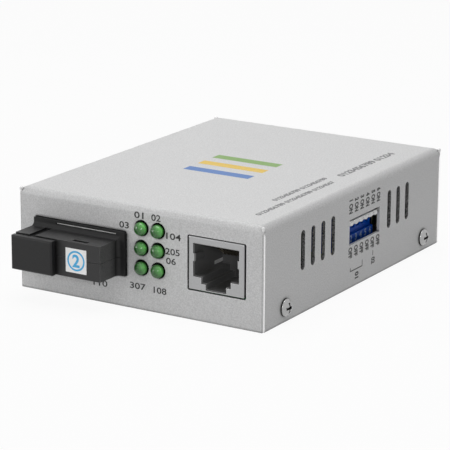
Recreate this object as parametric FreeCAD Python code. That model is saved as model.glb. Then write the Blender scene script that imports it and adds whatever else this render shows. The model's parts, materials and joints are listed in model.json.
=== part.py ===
import FreeCAD, Part
import math
import os

# A small desktop fibre media converter: a folded steel case with a copper network
# socket, an optical transceiver with its dust cap, six indicator lamps and a side
# window over a bank of six option levers. Millimetres, +Z up, +X to the right seen
# from the front, front panel towards -Y, origin at the middle of the underside.

# ---------------------------------------------------------------- case
case_width = 71.0
case_depth = 93.0
case_height = 26.5
sheet = 0.8                 # cover sheet thickness
bend = 2.0                  # outside radius of the cover's folds
flange_corner = 0.35        # rounded free corners of the front and rear flanges
flange_edge = 0.35          # rounded upright edges of the front and rear flanges
seam = 0.15                 # open joint where a side flange meets the front flange
relief_radius = 0.4         # relief hole at the top end of each seam
cover_lift = 0.2            # cover's free edge above the underside
tray_sheet = 0.8
tray_bend = 1.2
tray_side_height = 7.8
tray_lip_height = 4.6
shell_gap = 0.1             # cover to tray, all round

half_width = case_width / 2
front = -case_depth / 2
rear = case_depth / 2

# ---------------------------------------------------------------- case screws
case_screw_front_y = -36.0
case_screw_rear_y = 37.0
case_screw_z = 3.9
case_screw_radius = 1.4
case_screw_length = 4.4
screw_head_radius = 2.45
screw_head_height = 1.5
screw_dome_height = 1.08    # domed part of the head
screw_cross_width = 0.75
screw_cross_span = 3.0
screw_cross_depth = 0.9
shank_clearance = 0.05      # radial, in the piece that the thread bites
shank_passage = 0.3         # radial, in the piece that the screw clamps

# ---------------------------------------------------------------- board and its standoffs
board_underside = 6.4
board_thickness = 1.6
board_top = board_underside + board_thickness
board_side_gap = 0.6        # board edge to the tray's side wall
board_end_gap = 0.5         # board edge to the cover's front and rear walls
standoff_across_flats = 5.0
board_screw_radius = 1.4
board_screw_length = 5.0
board_head_radius = 2.45
board_head_height = 1.5
board_slot_width = 0.8
board_slot_depth = 0.6
board_screw_inset = 4.8     # screw centre to the tray's side wall
board_screw_left_ys = (-6.0, 30.0)
board_screw_right_ys = (-19.0, 30.0)
hole_clearance = 0.2        # pin to the side of its square board hole
pin_reach = 1.5             # solder tails below the board

# ---------------------------------------------------------------- side vents
vent_width = 2.0
vent_bottom = 11.15
vent_drop = 5.25            # top of the slots below the roof
vent_pitch = 5.0
front_vent_start = -27.7
front_vent_count = 4
rear_vent_start = 17.2
rear_vent_count = 3

# ---------------------------------------------------------------- optical transceiver
nose_inset = 4.9            # nose's left side to the case's left side
nose_width = 25.2
nose_bottom = 8.2
nose_height = 9.1
nose_reach = 8.5            # nose in front of the panel
collar_extra_width = 2.0    # collar past the nose's right side
collar_extra_height = 2.1
collar_proud = 0.9
collar_fit = 0.15
collar_corner = 0.4
root_fillet = 1.15
transceiver_length = 32.5   # behind the panel
parting_height = 4.7        # from the underside of the housing
parting_groove = 0.12
port_width = 9.3
port_height = 7.6
port_depth = 20.0
port_offset = 6.05          # port centre from the nose's left side
port_drop = 0.15            # port centre below the nose's middle
finger_groove_width = 1.9
finger_groove_depth = 0.5
finger_groove_length = 7.0
pocket_offset = 16.3        # pocket from the nose's left side
pocket_width = 4.5
pocket_setback = 0.9
pocket_length = 1.2
pocket_depth = 1.6
slit_offset = 6.8           # slit from the nose's left side
slit_width = 17.9
slit_height = 0.35
slit_drop = 0.75            # slit centre below the collar's top
clip_thickness = 0.25
clip_leg = 3.0
clip_recess = 0.25          # clip's front edge behind the collar's face
barrel_radius = 2.3
barrel_bore_radius = 1.25
barrel_bore_depth = 5.0
barrel_length = 6.0
barrel_collar_radius = 3.2
barrel_collar_length = 0.8
barrel_step = 0.6           # stem smaller in radius than the barrel's collar
barrel_stem_length = 2.0
barrel_fit = 0.05
header_pin = 0.5
header_pitch = 2.54
header_count = 9
header_setback = 1.6        # header pins in front of the housing's rear end
post_size = 1.2
post_inset = 3.0            # stand-off posts inside the nose's sides
post_setback = 12.0         # stand-off posts behind the panel

# ---------------------------------------------------------------- dust cap
cap_width = 12.3
cap_height = 8.8
cap_thickness = 1.8
cap_gap = 0.3               # cap's flange to the nose
cap_overhang = 0.1          # cap past the nose's left side
cap_edge = 0.35
stem_fit = 0.2
stem_length = 8.4
stem_bore_radius = 2.8
stem_bore_depth = 6.0

# ---------------------------------------------------------------- copper network socket
socket_inset = 5.25         # shield to the case's right side
socket_width = 15.8
socket_height = 13.3
socket_length = 17.8
shield_thickness = 0.25
shield_fold = 0.45          # outside radius of the shield's front folds
cutout_gap_left = 0.2       # shield to each edge of its panel cut-out
cutout_gap_right = 0.55
cutout_gap_above = 0.2
cutout_gap_below = 0.4
cutout_corner = 0.5
mouth_widths = (12.5, 7.9, 5.4)
mouth_rises = (3.4, 1.85, 0.4)    # floor of each width above the board
mouth_drop = 1.9            # mouth's ceiling below the shield's top
mouth_depth = 13.2
spring_thickness = 0.2      # spring tongues that fold in from the mouth's sides
spring_height = 2.0
spring_rise = 3.6           # lower edge above the mouth's widest floor
spring_length = 3.4
spring_gap = 0.25           # tongue's root to the plug cavity's wall
spring_lean = 0.55
spring_fold = 0.3
spring_tip = 0.7            # rounded corners of the tongue's free end
insert_fit = 0.05
mouth_rim = 0.2             # shield's opening outside the insert's
shield_leg_width = 1.6
shield_leg_setback = 9.0
contact_count = 8
contact_pitch = 1.02
contact_width = 0.45
contact_thickness = 0.3
contact_channel = 0.6
contact_channel_lead = 1.2  # channel starts in front of the contact's fold
contact_rise = 0.45         # contact run above the mouth's ceiling line
contact_bend_setback = 2.6
contact_tip_setback = 10.2
contact_tip_drop = 4.6
contact_bend_radius = 0.5

# ---------------------------------------------------------------- indicator lamps
lamp_column_pitch = 4.8
lamp_bank_share = 0.22      # of the free width beside the lamps, the part on their left
lamp_rise = 2.87            # lowest row above the board
lamp_row_pitch = 5.0
lamp_radius = 1.8
lamp_proud = 1.1
lamp_hole_clearance = 0.27
lamp_hole_right = 0.12      # panel holes sit this far off the lamps
lamp_hole_above = 0.14
lamp_flange_radius = 2.1
lamp_flange_thickness = 1.0
lamp_holder_setback = 0.5   # holder behind the panel's inner face
lamp_holder_depth = 5.0
lamp_holder_margin = 0.55
lamp_holder_crown = 0.2     # holder above the top lenses
lamp_holder_clearance = 0.05
lamp_lead = 0.5
lamp_lead_pitch = 2.54
lamp_lead_first = 1.0
lamp_lead_step = 1.2

# ---------------------------------------------------------------- option switch
window_front_y = -4.1
window_rear_y = 12.1
window_bottom = 11.4
window_top = 18.15
switch_count = 6
switch_pitch = 2.54
switch_y = 4.1
switch_width = 15.6
switch_inset = 1.9          # switch's face to the case's right side
switch_depth = 9.3
switch_height = 9.0
switch_lid = 0.6
shelf_z = 13.1
shelf_depth = 0.8
lever_pivot_setback = 4.8   # pivot behind the switch's face
lever_pivot_z = 15.2
lever_reach = 6.5
lever_angle = 14.5          # degrees up from level, at rest
lever_neck_width = 1.4
lever_neck_thickness = 1.0
lever_head_width = 2.2
lever_head_thickness = 1.2
lever_head_length = 2.0
lever_head_bite = 0.2       # neck runs into the head
lever_boss_radius = 1.1
lever_gap = 0.15
trunnion_radius = 0.45
trunnion_length = 0.3
trunnion_clearance = 0.05
trunnion_end_gap = 0.05
slot_floor_z = 14.25
switch_row_pitch = 7.62
switch_row_inset = 1.03
switch_pin = 0.5

# ---------------------------------------------------------------- power inlet
inlet_x = 14.0
inlet_width = 9.0
inlet_height = 11.0
inlet_length = 14.2
inlet_bore_radius = 3.15
inlet_bore_depth = 9.5
inlet_bore_height = 6.5     # bore centre above the board
inlet_pin_radius = 1.0
inlet_pin_recess = 0.4
inlet_pin_seat = 2.0        # pin pressed into the back of the bore
inlet_pin_fit = 0.05
inlet_fit = 0.2
terminal_thickness = 0.5
terminal_width = 2.4
terminal_setbacks = (1.0, 4.0, 7.0)    # rear, side and front tab from the inlet's inner end
terminal_side_inset = 1.0

# ---------------------------------------------------------------- parts on the board
controller_x = 2.0
controller_y = -4.0
controller_size = 14.0
controller_height = 1.4
controller_lead_count = 10
controller_lead_pitch = 1.2
controller_lead_width = 0.4
lead_reach = 1.0
lead_thickness = 0.2
chip_lift = 0.1
chip_mark_inset = 1.5       # pin-one dimple
chip_mark_radius = 0.5
chip_mark_depth = 0.1
transformer_offset = 2.35   # left of the socket's middle
transformer_y = -19.0
transformer_width = 9.0
transformer_length = 12.7
transformer_height = 5.6
transformer_lead_count = 8
transformer_lead_pitch = 1.4
crystal_x = -12.5
crystal_y = 4.0
crystal_length = 11.0
crystal_width = 4.6
crystal_height = 3.6
capacitor_places = ((-6.0, 33.0, 3.15, 11.0), (-16.0, 33.0, 3.15, 11.0), (4.5, 22.0, 2.5, 7.0))
capacitor_lead_pitch = 2.5
regulator_x = 14.0
regulator_y = 22.0
regulator_width = 6.5
regulator_length = 6.0
regulator_height = 2.3
regulator_tab_thickness = 0.4
regulator_tab_width = 0.8
regulator_tab_pitch = 2.3
regulator_tab_reach = 2.2
heat_tab_reach = 1.4
heat_tab_inset = 0.6
resistor_length = 2.0
resistor_width = 1.25
resistor_height = 0.6
resistor_pitch = 3.2
resistor_starts = ((-14.0, 14.0), (-4.0, 11.0), (-29.0, 12.0))
resistor_counts = (5, 4, 3)
jumper_inset = 4.9          # header to the case's right side
jumper_y = 16.6
jumper_pitch = 2.54
jumper_count = 3
jumper_base = 2.5
jumper_pin_height = 6.0
jumper_pin = 0.64
jumper_fit = 0.05


def block(x0, y0, z0, x1, y1, z1):
    """A box between two opposite corners."""
    return Part.makeBox(x1 - x0, y1 - y0, z1 - z0, FreeCAD.Vector(x0, y0, z0))


def rod(x, y, z, radius, length, axis):
    """A cylinder from its first end, along a unit axis."""
    return Part.makeCylinder(radius, length, FreeCAD.Vector(x, y, z), FreeCAD.Vector(*axis))


def along_y(outline, start, length):
    """Extrude a face drawn in X and Z along +Y."""
    face = outline.copy()
    face.translate(FreeCAD.Vector(0, start, 0))
    return face.extrude(FreeCAD.Vector(0, length, 0))


def along_x(outline, start, length):
    """Extrude a face drawn in Y and Z along +X."""
    face = outline.copy()
    face.translate(FreeCAD.Vector(start, 0, 0))
    return face.extrude(FreeCAD.Vector(length, 0, 0))


def place_xz(point):
    return FreeCAD.Vector(point[0], 0, point[1])


def place_yz(point):
    return FreeCAD.Vector(0, point[0], point[1])


def polygon(points, place):
    corners = [place(point) for point in points]
    return Part.Face(Part.makePolygon(corners + corners[:1]))


def arch(low, high, bottom, top, radius, place):
    """A wall section with both upper corners rounded."""
    lean = radius * (1 - math.sqrt(0.5))
    marks = {
        "a": (low, bottom),
        "b": (high, bottom),
        "c": (high, top - radius),
        "cd": (high - lean, top - lean),
        "d": (high - radius, top),
        "e": (low + radius, top),
        "ef": (low + lean, top - lean),
        "f": (low, top - radius),
    }
    spot = {name: place(point) for name, point in marks.items()}
    edges = [
        Part.makeLine(spot["a"], spot["b"]),
        Part.makeLine(spot["b"], spot["c"]),
        Part.Arc(spot["c"], spot["cd"], spot["d"]).toShape(),
        Part.makeLine(spot["d"], spot["e"]),
        Part.Arc(spot["e"], spot["ef"], spot["f"]).toShape(),
        Part.makeLine(spot["f"], spot["a"]),
    ]
    return Part.Face(Part.Wire(edges))


def folded_form(width, depth, bottom, top, radius):
    """A box with all four upper edges rounded and mitred where they meet."""
    across = along_y(arch(-width / 2, width / 2, bottom, top, radius, place_xz), -depth / 2, depth)
    lengthways = along_x(arch(-depth / 2, depth / 2, bottom, top, radius, place_yz), -width / 2, width)
    return across.common(lengthways)


def bent_strip(path, thickness, radius, start, width):
    """A strip folded along a path of points in Y and Z, each fold a true arc, width along X."""
    points = [FreeCAD.Vector(0, y, z) for y, z in path]
    steps = [(after - before).normalize() for before, after in zip(points, points[1:])]
    sides = [FreeCAD.Vector(0, -step.z, step.y) for step in steps]
    half = thickness / 2
    edges_by_side = {}
    for hand in (1, -1):
        edges = []
        at = points[0] + sides[0] * (hand * half)
        for index in range(1, len(points) - 1):
            before, after = steps[index - 1], steps[index]
            turn = math.atan2(before.y * after.z - before.z * after.y, before.dot(after))
            run = radius * math.tan(abs(turn) / 2)
            curl = 1 if turn > 0 else -1
            entry = points[index] - before * run + sides[index - 1] * (hand * half)
            leave = points[index] + after * run + sides[index] * (hand * half)
            centre = points[index] - before * run + sides[index - 1] * (curl * radius)
            middle = centre + (points[index] - centre).normalize() * (radius - hand * curl * half)
            edges.append(Part.makeLine(at, entry))
            edges.append(Part.Arc(entry, middle, leave).toShape())
            at = leave
        last = points[-1] + sides[-1] * (hand * half)
        edges.append(Part.makeLine(at, last))
        edges_by_side[hand] = (edges, points[0] + sides[0] * (hand * half), last)
    left_edges, left_start, left_end = edges_by_side[1]
    right_edges, right_start, right_end = edges_by_side[-1]
    caps = [Part.makeLine(left_end, right_end), Part.makeLine(right_start, left_start)]
    ordered = Part.__sortEdges__(left_edges + right_edges + caps)
    return along_x(Part.Face(Part.Wire(ordered)), start, width)


def case_screw(x, y, z, out):
    """A cross-recessed pan-head screw seated at a point, its head facing along out."""
    head = Part.makeCylinder(screw_head_radius, screw_head_height)
    dome_radius = (screw_head_radius ** 2 + screw_dome_height ** 2) / (2 * screw_dome_height)
    dome_centre = FreeCAD.Vector(0, 0, screw_head_height - dome_radius)
    head = head.common(Part.makeSphere(dome_radius, dome_centre))
    floor = screw_head_height - screw_cross_depth
    half_span = screw_cross_span / 2
    half_cross = screw_cross_width / 2
    for long_x, long_y in ((half_span, half_cross), (half_cross, half_span)):
        head = head.cut(block(-long_x, -long_y, floor, long_x, long_y, screw_head_height + 1))
    shank = rod(0, 0, -case_screw_length, case_screw_radius, case_screw_length, (0, 0, 1))
    screw = head.fuse(shank)
    screw.Placement = FreeCAD.Placement(
        FreeCAD.Vector(x, y, z),
        FreeCAD.Rotation(FreeCAD.Vector(0, 0, 1), FreeCAD.Vector(*out)),
    )
    return screw


# Derived places that several pieces share.
tray_half_width = half_width - sheet - shell_gap
tray_half_depth = case_depth / 2 - sheet - shell_gap
tray_wall_inside = tray_half_width - tray_sheet
case_screw_ys = (case_screw_front_y, case_screw_rear_y)
board_screw_x = tray_wall_inside - board_screw_inset
board_screw_places = ([(-board_screw_x, y) for y in board_screw_left_ys]
                      + [(board_screw_x, y) for y in board_screw_right_ys])
vent_top = case_height - vent_drop
nose_left = nose_inset - half_width
nose_right = nose_left + nose_width
nose_top = nose_bottom + nose_height
nose_face = front - nose_reach
collar_right = nose_right + collar_extra_width
collar_top = nose_top + collar_extra_height
collar_face = front - collar_proud
collar_depth = collar_proud + sheet
port_x = nose_left + port_offset
port_z = nose_bottom + nose_height / 2 - port_drop
port_end = nose_face + port_depth
barrel_stem_radius = barrel_collar_radius - barrel_step - barrel_fit
parting_z = nose_bottom + parting_height
slit_left = nose_left + slit_offset
slit_z = collar_top - slit_drop
socket_x = half_width - socket_inset - socket_width / 2
socket_left = socket_x - socket_width / 2
socket_face = front
socket_top = board_top + socket_height
mouth_top = socket_top - mouth_drop
mouth_levels = [board_top + rise for rise in mouth_rises]
lamp_reach = lamp_flange_radius + lamp_holder_margin
lamp_free_width = socket_left - collar_right - lamp_column_pitch - 2 * lamp_reach
lamp_left_x = collar_right + lamp_bank_share * lamp_free_width + lamp_reach
lamp_columns = (lamp_left_x, lamp_left_x + lamp_column_pitch)
lamp_rows = [board_top + lamp_rise + index * lamp_row_pitch for index in range(3)]
lamp_holder_front = front + sheet + lamp_holder_setback
lamp_holder_back = lamp_holder_front + lamp_holder_depth
lamp_back = lamp_holder_back + lamp_flange_thickness
switch_face_x = half_width - switch_inset
switch_back_x = switch_face_x - switch_depth
switch_top = board_top + switch_height
recess_x = switch_face_x - shelf_depth
lever_pivot_x = switch_face_x - lever_pivot_setback
lever_ys = [switch_y + (index - (switch_count - 1) / 2) * switch_pitch for index in range(switch_count)]
switch_rows = (switch_face_x - switch_row_inset, switch_face_x - switch_row_inset - switch_row_pitch)
inlet_z = board_top + inlet_bore_height
tail_end = board_underside - pin_reach
header_y = front + transceiver_length - header_setback
header_xs = [nose_left + nose_width / 2 + (index - (header_count - 1) / 2) * header_pitch
             for index in range(header_count)]
post_xs = (nose_left + post_inset, nose_right - post_inset)
post_y = front + post_setback
contact_xs = [socket_x + (index - (contact_count - 1) / 2) * contact_pitch
              for index in range(contact_count)]
contact_back_y = socket_face + socket_length + contact_thickness
shield_leg_y = socket_face + shield_leg_setback
transformer_x = socket_x - transformer_offset
jumper_x = half_width - jumper_inset


def vent_starts():
    first = [front_vent_start + index * vent_pitch for index in range(front_vent_count)]
    second = [rear_vent_start + index * vent_pitch for index in range(rear_vent_count)]
    return first + second


def vent_cutter(side, y):
    """A round-ended upright slot through one side wall."""
    radius = vent_width / 2
    start = side * half_width - 2 * sheet
    span = 4 * sheet
    slot = block(start, y - radius, vent_bottom + radius, start + span, y + radius, vent_top - radius)
    for z in (vent_bottom + radius, vent_top - radius):
        slot = slot.fuse(rod(start, y, z, radius, span, (1, 0, 0)))
    return slot


def lamp_cutters():
    radius = lamp_radius + lamp_hole_clearance
    return [rod(x + lamp_hole_right, front - sheet, z + lamp_hole_above, radius, 3 * sheet, (0, 1, 0))
            for x in lamp_columns for z in lamp_rows]


def seam_cutters():
    """The open joint beside each front and rear flange, with its relief hole."""
    cutters = []
    top = case_height - bend
    for side in (1, -1):
        inner = side * (half_width - sheet)
        outer = side * (half_width + sheet)
        low, high = min(inner, outer), max(inner, outer)
        for end in (1, -1):
            wall = end * (case_depth / 2 - sheet)
            near, far = sorted((wall, wall - end * seam))
            cutters.append(block(low, near, 0, high, far, top))
            cutters.append(rod(low, (near + far) / 2, top, relief_radius, high - low, (1, 0, 0)))
    return cutters


def flange_corner_cutters():
    """What rounds the free lower corners of the front and rear flanges."""
    cutters = []
    for side in (1, -1):
        for end in (1, -1):
            x_edge = side * half_width
            x_centre = x_edge - side * flange_corner
            y_edge = end * case_depth / 2
            y_inside = y_edge - end * sheet
            low_y, high_y = sorted((y_edge, y_inside))
            low_x, high_x = sorted((x_edge, x_centre))
            corner = block(low_x, low_y, cover_lift, high_x, high_y, cover_lift + flange_corner)
            round_part = rod(x_centre, low_y, cover_lift + flange_corner, flange_corner, sheet, (0, 1, 0))
            cutters.append(corner.cut(round_part))
    return cutters


def flange_edge_cutters():
    """What rounds the upright outer edges of the front and rear flanges."""
    cutters = []
    for side in (1, -1):
        for end in (1, -1):
            x_edge = side * half_width
            y_edge = end * case_depth / 2
            x_centre = x_edge - side * flange_edge
            y_centre = y_edge - end * flange_edge
            low_x, high_x = sorted((x_edge, x_centre))
            low_y, high_y = sorted((y_edge, y_centre))
            corner = block(low_x, low_y, 0, high_x, high_y, case_height)
            cutters.append(corner.cut(rod(x_centre, y_centre, 0, flange_edge, case_height, (0, 0, 1))))
    return cutters


def rounded_opening(low, high, bottom, top, corners):
    """A cutter through the front wall, its named corners rounded: each is (x, z, radius)."""
    opening = block(low, front - 2 * sheet, bottom, high, front + 2 * sheet, top)
    for x, z, radius in corners:
        edges = [edge for edge in opening.Edges
                 if abs(edge.CenterOfMass.x - x) < 0.01 and abs(edge.CenterOfMass.z - z) < 0.01]
        opening = opening.makeFillet(radius, edges)
    return opening


def transceiver_opening():
    high = collar_right + collar_fit
    top = collar_top + collar_fit
    corners = ((high, top, collar_corner + collar_fit),)
    return rounded_opening(nose_left - collar_fit, high, nose_bottom - collar_fit, top, corners)


def socket_opening():
    low = socket_left - cutout_gap_left
    high = socket_left + socket_width + cutout_gap_right
    bottom = board_top - cutout_gap_below
    top = socket_top + cutout_gap_above
    corners = [(x, z, cutout_corner) for x in (low, high) for z in (bottom, top)]
    return rounded_opening(low, high, bottom, top, corners)


def top_cover():
    """One folded sheet: roof, front, rear and two side flanges."""
    outside = folded_form(case_width, case_depth, cover_lift, case_height, bend)
    inside = folded_form(case_width - 2 * sheet, case_depth - 2 * sheet, cover_lift - 1,
                         case_height - sheet, bend - sheet)
    cover = outside.cut(inside)
    through = 2 * sheet
    cutters = lamp_cutters() + seam_cutters() + flange_corner_cutters() + flange_edge_cutters()
    cutters += [transceiver_opening(), socket_opening()]
    half_inlet = inlet_width / 2 + inlet_fit
    cutters.append(block(inlet_x - half_inlet, rear - through, board_top - inlet_fit,
                         inlet_x + half_inlet, rear + through, board_top + inlet_height + inlet_fit))
    cutters.append(block(half_width - through, window_front_y, window_bottom,
                         half_width + through, window_rear_y, window_top))
    for side in (1, -1):
        cutters += [vent_cutter(side, y) for y in vent_starts()]
        for y in case_screw_ys:
            start = side * half_width - through
            cutters.append(rod(start, y, case_screw_z, case_screw_radius + shank_passage,
                               2 * through, (1, 0, 0)))
    return cover.cut(cutters)


def base_tray():
    """A shallow folded tray: floor, two side flanges that take the case screws, two low lips."""
    flip = FreeCAD.Placement(FreeCAD.Vector(0, 0, 0), FreeCAD.Rotation(FreeCAD.Vector(0, 1, 0), 180))
    outside = folded_form(2 * tray_half_width, 2 * tray_half_depth, -tray_side_height, 0, tray_bend)
    inside = folded_form(2 * (tray_half_width - tray_sheet), 2 * (tray_half_depth - tray_sheet),
                         -tray_side_height - 1, -tray_sheet, tray_bend - tray_sheet / 2)
    tray = outside.cut(inside)
    tray.Placement = flip
    cutters = []
    lip_inside = tray_half_depth - tray_sheet
    for end in (1, -1):
        near, far = sorted((end * lip_inside, end * (tray_half_depth + 1)))
        cutters.append(block(-half_width, near, tray_lip_height, half_width, far, tray_side_height + 1))
        for side in (1, -1):
            slit_near, slit_far = sorted((end * lip_inside, end * (lip_inside - seam)))
            low, high = sorted((side * tray_wall_inside, side * half_width))
            cutters.append(block(low, slit_near, tray_bend, high, slit_far, tray_side_height + 1))
    for side in (1, -1):
        for y in case_screw_ys:
            start = side * tray_half_width - 2 * tray_sheet
            cutters.append(rod(start, y, case_screw_z, case_screw_radius + shank_clearance,
                               4 * tray_sheet, (1, 0, 0)))
    return tray.cut(cutters)


def case_screws():
    return [case_screw(side * half_width, y, case_screw_z, (side, 0, 0))
            for side in (1, -1) for y in case_screw_ys]


def board_standoffs():
    """Threaded hexagonal pillars pressed into the tray's floor."""
    corner_radius = standoff_across_flats / math.sqrt(3)
    pillars = []
    for x, y in board_screw_places:
        points = [FreeCAD.Vector(x + corner_radius * math.cos(math.radians(60 * turn)),
                                 y + corner_radius * math.sin(math.radians(60 * turn)),
                                 tray_sheet) for turn in range(6)]
        face = Part.Face(Part.makePolygon(points + points[:1]))
        pillar = face.extrude(FreeCAD.Vector(0, 0, board_underside - tray_sheet))
        bore_depth = board_screw_length - board_thickness + pin_reach / 2
        bore = rod(x, y, board_underside - bore_depth, board_screw_radius + shank_clearance,
                   bore_depth + 1, (0, 0, 1))
        pillars.append(pillar.cut(bore))
    return pillars


def board_screws():
    """Slotted cheese-head screws down through the board into the pillars."""
    screws = []
    top = board_top + board_head_height
    half_slot = board_slot_width / 2
    for x, y in board_screw_places:
        shank = rod(x, y, board_top - board_screw_length, board_screw_radius, board_screw_length, (0, 0, 1))
        head = rod(x, y, board_top, board_head_radius, board_head_height, (0, 0, 1))
        slot = block(x - board_head_radius, y - half_slot, top - board_slot_depth,
                     x + board_head_radius, y + half_slot, top + 1)
        screws.append(head.fuse(shank).cut(slot))
    return screws


def square_hole(x, y, size_x, size_y):
    half_x = size_x / 2 + hole_clearance
    half_y = size_y / 2 + hole_clearance
    return block(x - half_x, y - half_y, board_underside - 1, x + half_x, y + half_y, board_top + 1)


def square_tail(x, y, size_x, size_y, top):
    return block(x - size_x / 2, y - size_y / 2, tail_end, x + size_x / 2, y + size_y / 2, top)


def lamp_lead_places():
    """Lead X, bend Y and lamp Z of every lamp lead."""
    places = []
    for x in lamp_columns:
        for row, z in enumerate(lamp_rows):
            bend_y = lamp_back + lamp_lead_first + row * lamp_lead_step
            for hand in (-1, 1):
                places.append((x + hand * lamp_lead_pitch / 2, bend_y, z))
    return places


def terminal_places():
    """Centre and size of the power inlet's three solder tabs."""
    first, side, second = [rear - inlet_length + setback for setback in terminal_setbacks]
    side_x = inlet_x - inlet_width / 2 + terminal_side_inset
    return ((inlet_x, first, terminal_width, terminal_thickness),
            (inlet_x, second, terminal_width, terminal_thickness),
            (side_x, side, terminal_thickness, terminal_width))


def capacitor_lead_places():
    return [(x + hand * capacitor_lead_pitch / 2, y) for x, y, _, _ in capacitor_places for hand in (-1, 1)]


def jumper_ys():
    return [jumper_y + (index - (jumper_count - 1) / 2) * jumper_pitch for index in range(jumper_count)]


def main_board():
    """The circuit board, pierced for every screw, pin, lead and tab."""
    half_board = tray_wall_inside - board_side_gap
    end = case_depth / 2 - sheet - board_end_gap
    board = block(-half_board, -end, board_underside, half_board, end, board_top)
    screw_hole = board_screw_radius + shank_passage
    holes = [rod(x, y, board_underside - 1, screw_hole, board_thickness + 2, (0, 0, 1))
             for x, y in board_screw_places]
    holes += [square_hole(x, header_y, header_pin, header_pin) for x in header_xs]
    holes += [square_hole(x, post_y, post_size, post_size) for x in post_xs]
    holes += [square_hole(x, contact_back_y, contact_width, contact_thickness) for x in contact_xs]
    for side in (1, -1):
        leg_x = socket_x + side * (socket_width - shield_thickness) / 2
        holes.append(square_hole(leg_x, shield_leg_y, shield_thickness, shield_leg_width))
    holes += [square_hole(x, y, lamp_lead, lamp_lead) for x, y in
              sorted({(round(x, 4), round(y, 4)) for x, y, _ in lamp_lead_places()})]
    holes += [square_hole(x, y, switch_pin, switch_pin) for x in switch_rows for y in lever_ys]
    holes += [square_hole(*place) for place in terminal_places()]
    holes += [square_hole(x, y, lamp_lead, lamp_lead) for x, y in capacitor_lead_places()]
    holes += [square_hole(jumper_x, y, jumper_pin, jumper_pin) for y in jumper_ys()]
    return board.cut(holes)


def transceiver_form():
    """Nose, collar and body of the transceiver as one form, before it is parted."""
    body_end = front + transceiver_length
    body = block(nose_left, nose_face, nose_bottom, nose_right, body_end, nose_top)
    collar = block(nose_left, collar_face, nose_bottom, collar_right, collar_face + collar_depth, collar_top)
    form = body.fuse(collar).removeSplitter()
    roots = []
    for edge in form.Edges:
        box = edge.BoundBox
        on_face = abs(box.YMin - collar_face) < 0.01 and abs(box.YMax - collar_face) < 0.01
        top_root = abs(box.ZMin - nose_top) < 0.01 and abs(box.ZMax - nose_top) < 0.01
        side_root = abs(box.XMin - nose_right) < 0.01 and abs(box.XMax - nose_right) < 0.01
        if on_face and (top_root or side_root):
            roots.append(edge)
    form = form.makeFillet(root_fillet, roots)
    corner = [edge for edge in form.Edges
              if abs(edge.CenterOfMass.x - collar_right) < 0.01
              and abs(edge.CenterOfMass.z - collar_top) < 0.01]
    form = form.makeFillet(collar_corner, corner)
    cutters = []
    cutters.append(block(port_x - port_width / 2, nose_face - 1, port_z - port_height / 2,
                         port_x + port_width / 2, port_end, port_z + port_height / 2))
    groove_left = port_x - finger_groove_width
    cutters.append(block(groove_left, nose_face - 1, nose_top - finger_groove_depth,
                         port_x, nose_face + finger_groove_length, nose_top + 1))
    pocket_left = nose_left + pocket_offset
    pocket_front = nose_face + pocket_setback
    cutters.append(block(pocket_left, pocket_front, nose_top - pocket_depth,
                         pocket_left + pocket_width, pocket_front + pocket_length, nose_top + 1))
    cutters.append(block(slit_left, collar_face - 1, slit_z - slit_height / 2,
                         slit_left + slit_width, collar_face + collar_depth + 1, slit_z + slit_height / 2))
    cutters.append(rod(port_x, port_end - 1, port_z, barrel_stem_radius + barrel_fit,
                       barrel_stem_length + barrel_collar_length + 1, (0, 1, 0)))
    ring = block(nose_left - 1, nose_face - 1, parting_z - parting_groove / 2,
                 collar_right + 1, body_end + 1, parting_z + parting_groove / 2)
    core = block(nose_left + parting_groove, nose_face + parting_groove, parting_z - 1,
                 nose_right - parting_groove, body_end - parting_groove, parting_z + 1)
    collar_core = block(nose_left + parting_groove, collar_face + parting_groove, parting_z - 1,
                        collar_right - parting_groove, collar_face + collar_depth - parting_groove,
                        parting_z + 1)
    cutters.append(ring.cut(core).cut(collar_core))
    return form.cut(cutters)


def transceiver_half(form, low, high):
    """The slice of the transceiver between two levels."""
    return form.common(block(nose_left - 1, nose_face - 1, low, collar_right + 1, rear, high))


def earthing_clip():
    """A spring strip through the collar's slit, turned up against the back of the panel."""
    leg_y = front + sheet + clip_thickness
    path = ((collar_face + clip_recess, slit_z), (leg_y, slit_z), (leg_y, slit_z + clip_leg))
    return bent_strip(path, clip_thickness, clip_thickness, slit_left + collar_fit,
                      slit_width - 2 * collar_fit)


def optical_barrel():
    """The sleeve that takes the fibre's ferrule, at the back of the port."""
    barrel = rod(port_x, port_end - barrel_length, port_z, barrel_radius, barrel_length, (0, 1, 0))
    barrel = barrel.fuse(rod(port_x, port_end - barrel_collar_length, port_z, barrel_collar_radius,
                             barrel_collar_length, (0, 1, 0)))
    barrel = barrel.fuse(rod(port_x, port_end, port_z, barrel_stem_radius,
                             barrel_collar_length + barrel_stem_length, (0, 1, 0)))
    return barrel.cut(rod(port_x, port_end - barrel_length - 1, port_z, barrel_bore_radius,
                          barrel_bore_depth + 1, (0, 1, 0)))


def transceiver_pins():
    pins = [square_tail(x, header_y, header_pin, header_pin, nose_bottom) for x in header_xs]
    posts = [square_tail(x, post_y, post_size, post_size, nose_bottom) for x in post_xs]
    return pins + posts


def port_dust_cap():
    """A push-in plug: a flat grip in front and a hollow stem that fills the port."""
    back = nose_face - cap_gap
    left = nose_left - cap_overhang
    grip = block(left, back - cap_thickness, nose_bottom, left + cap_width, back, nose_bottom + cap_height)
    rim = [edge for edge in grip.Edges if abs(edge.CenterOfMass.y - (back - cap_thickness)) < 0.01]
    grip = grip.makeChamfer(cap_edge, rim)
    half_w = port_width / 2 - stem_fit
    half_h = port_height / 2 - stem_fit
    stem = block(port_x - half_w, back, port_z - half_h, port_x + half_w, back + stem_length, port_z + half_h)
    bore = rod(port_x, back + stem_length - stem_bore_depth, port_z, stem_bore_radius,
               stem_bore_depth + 1, (0, 1, 0))
    return grip.fuse(stem).cut(bore)


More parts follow.
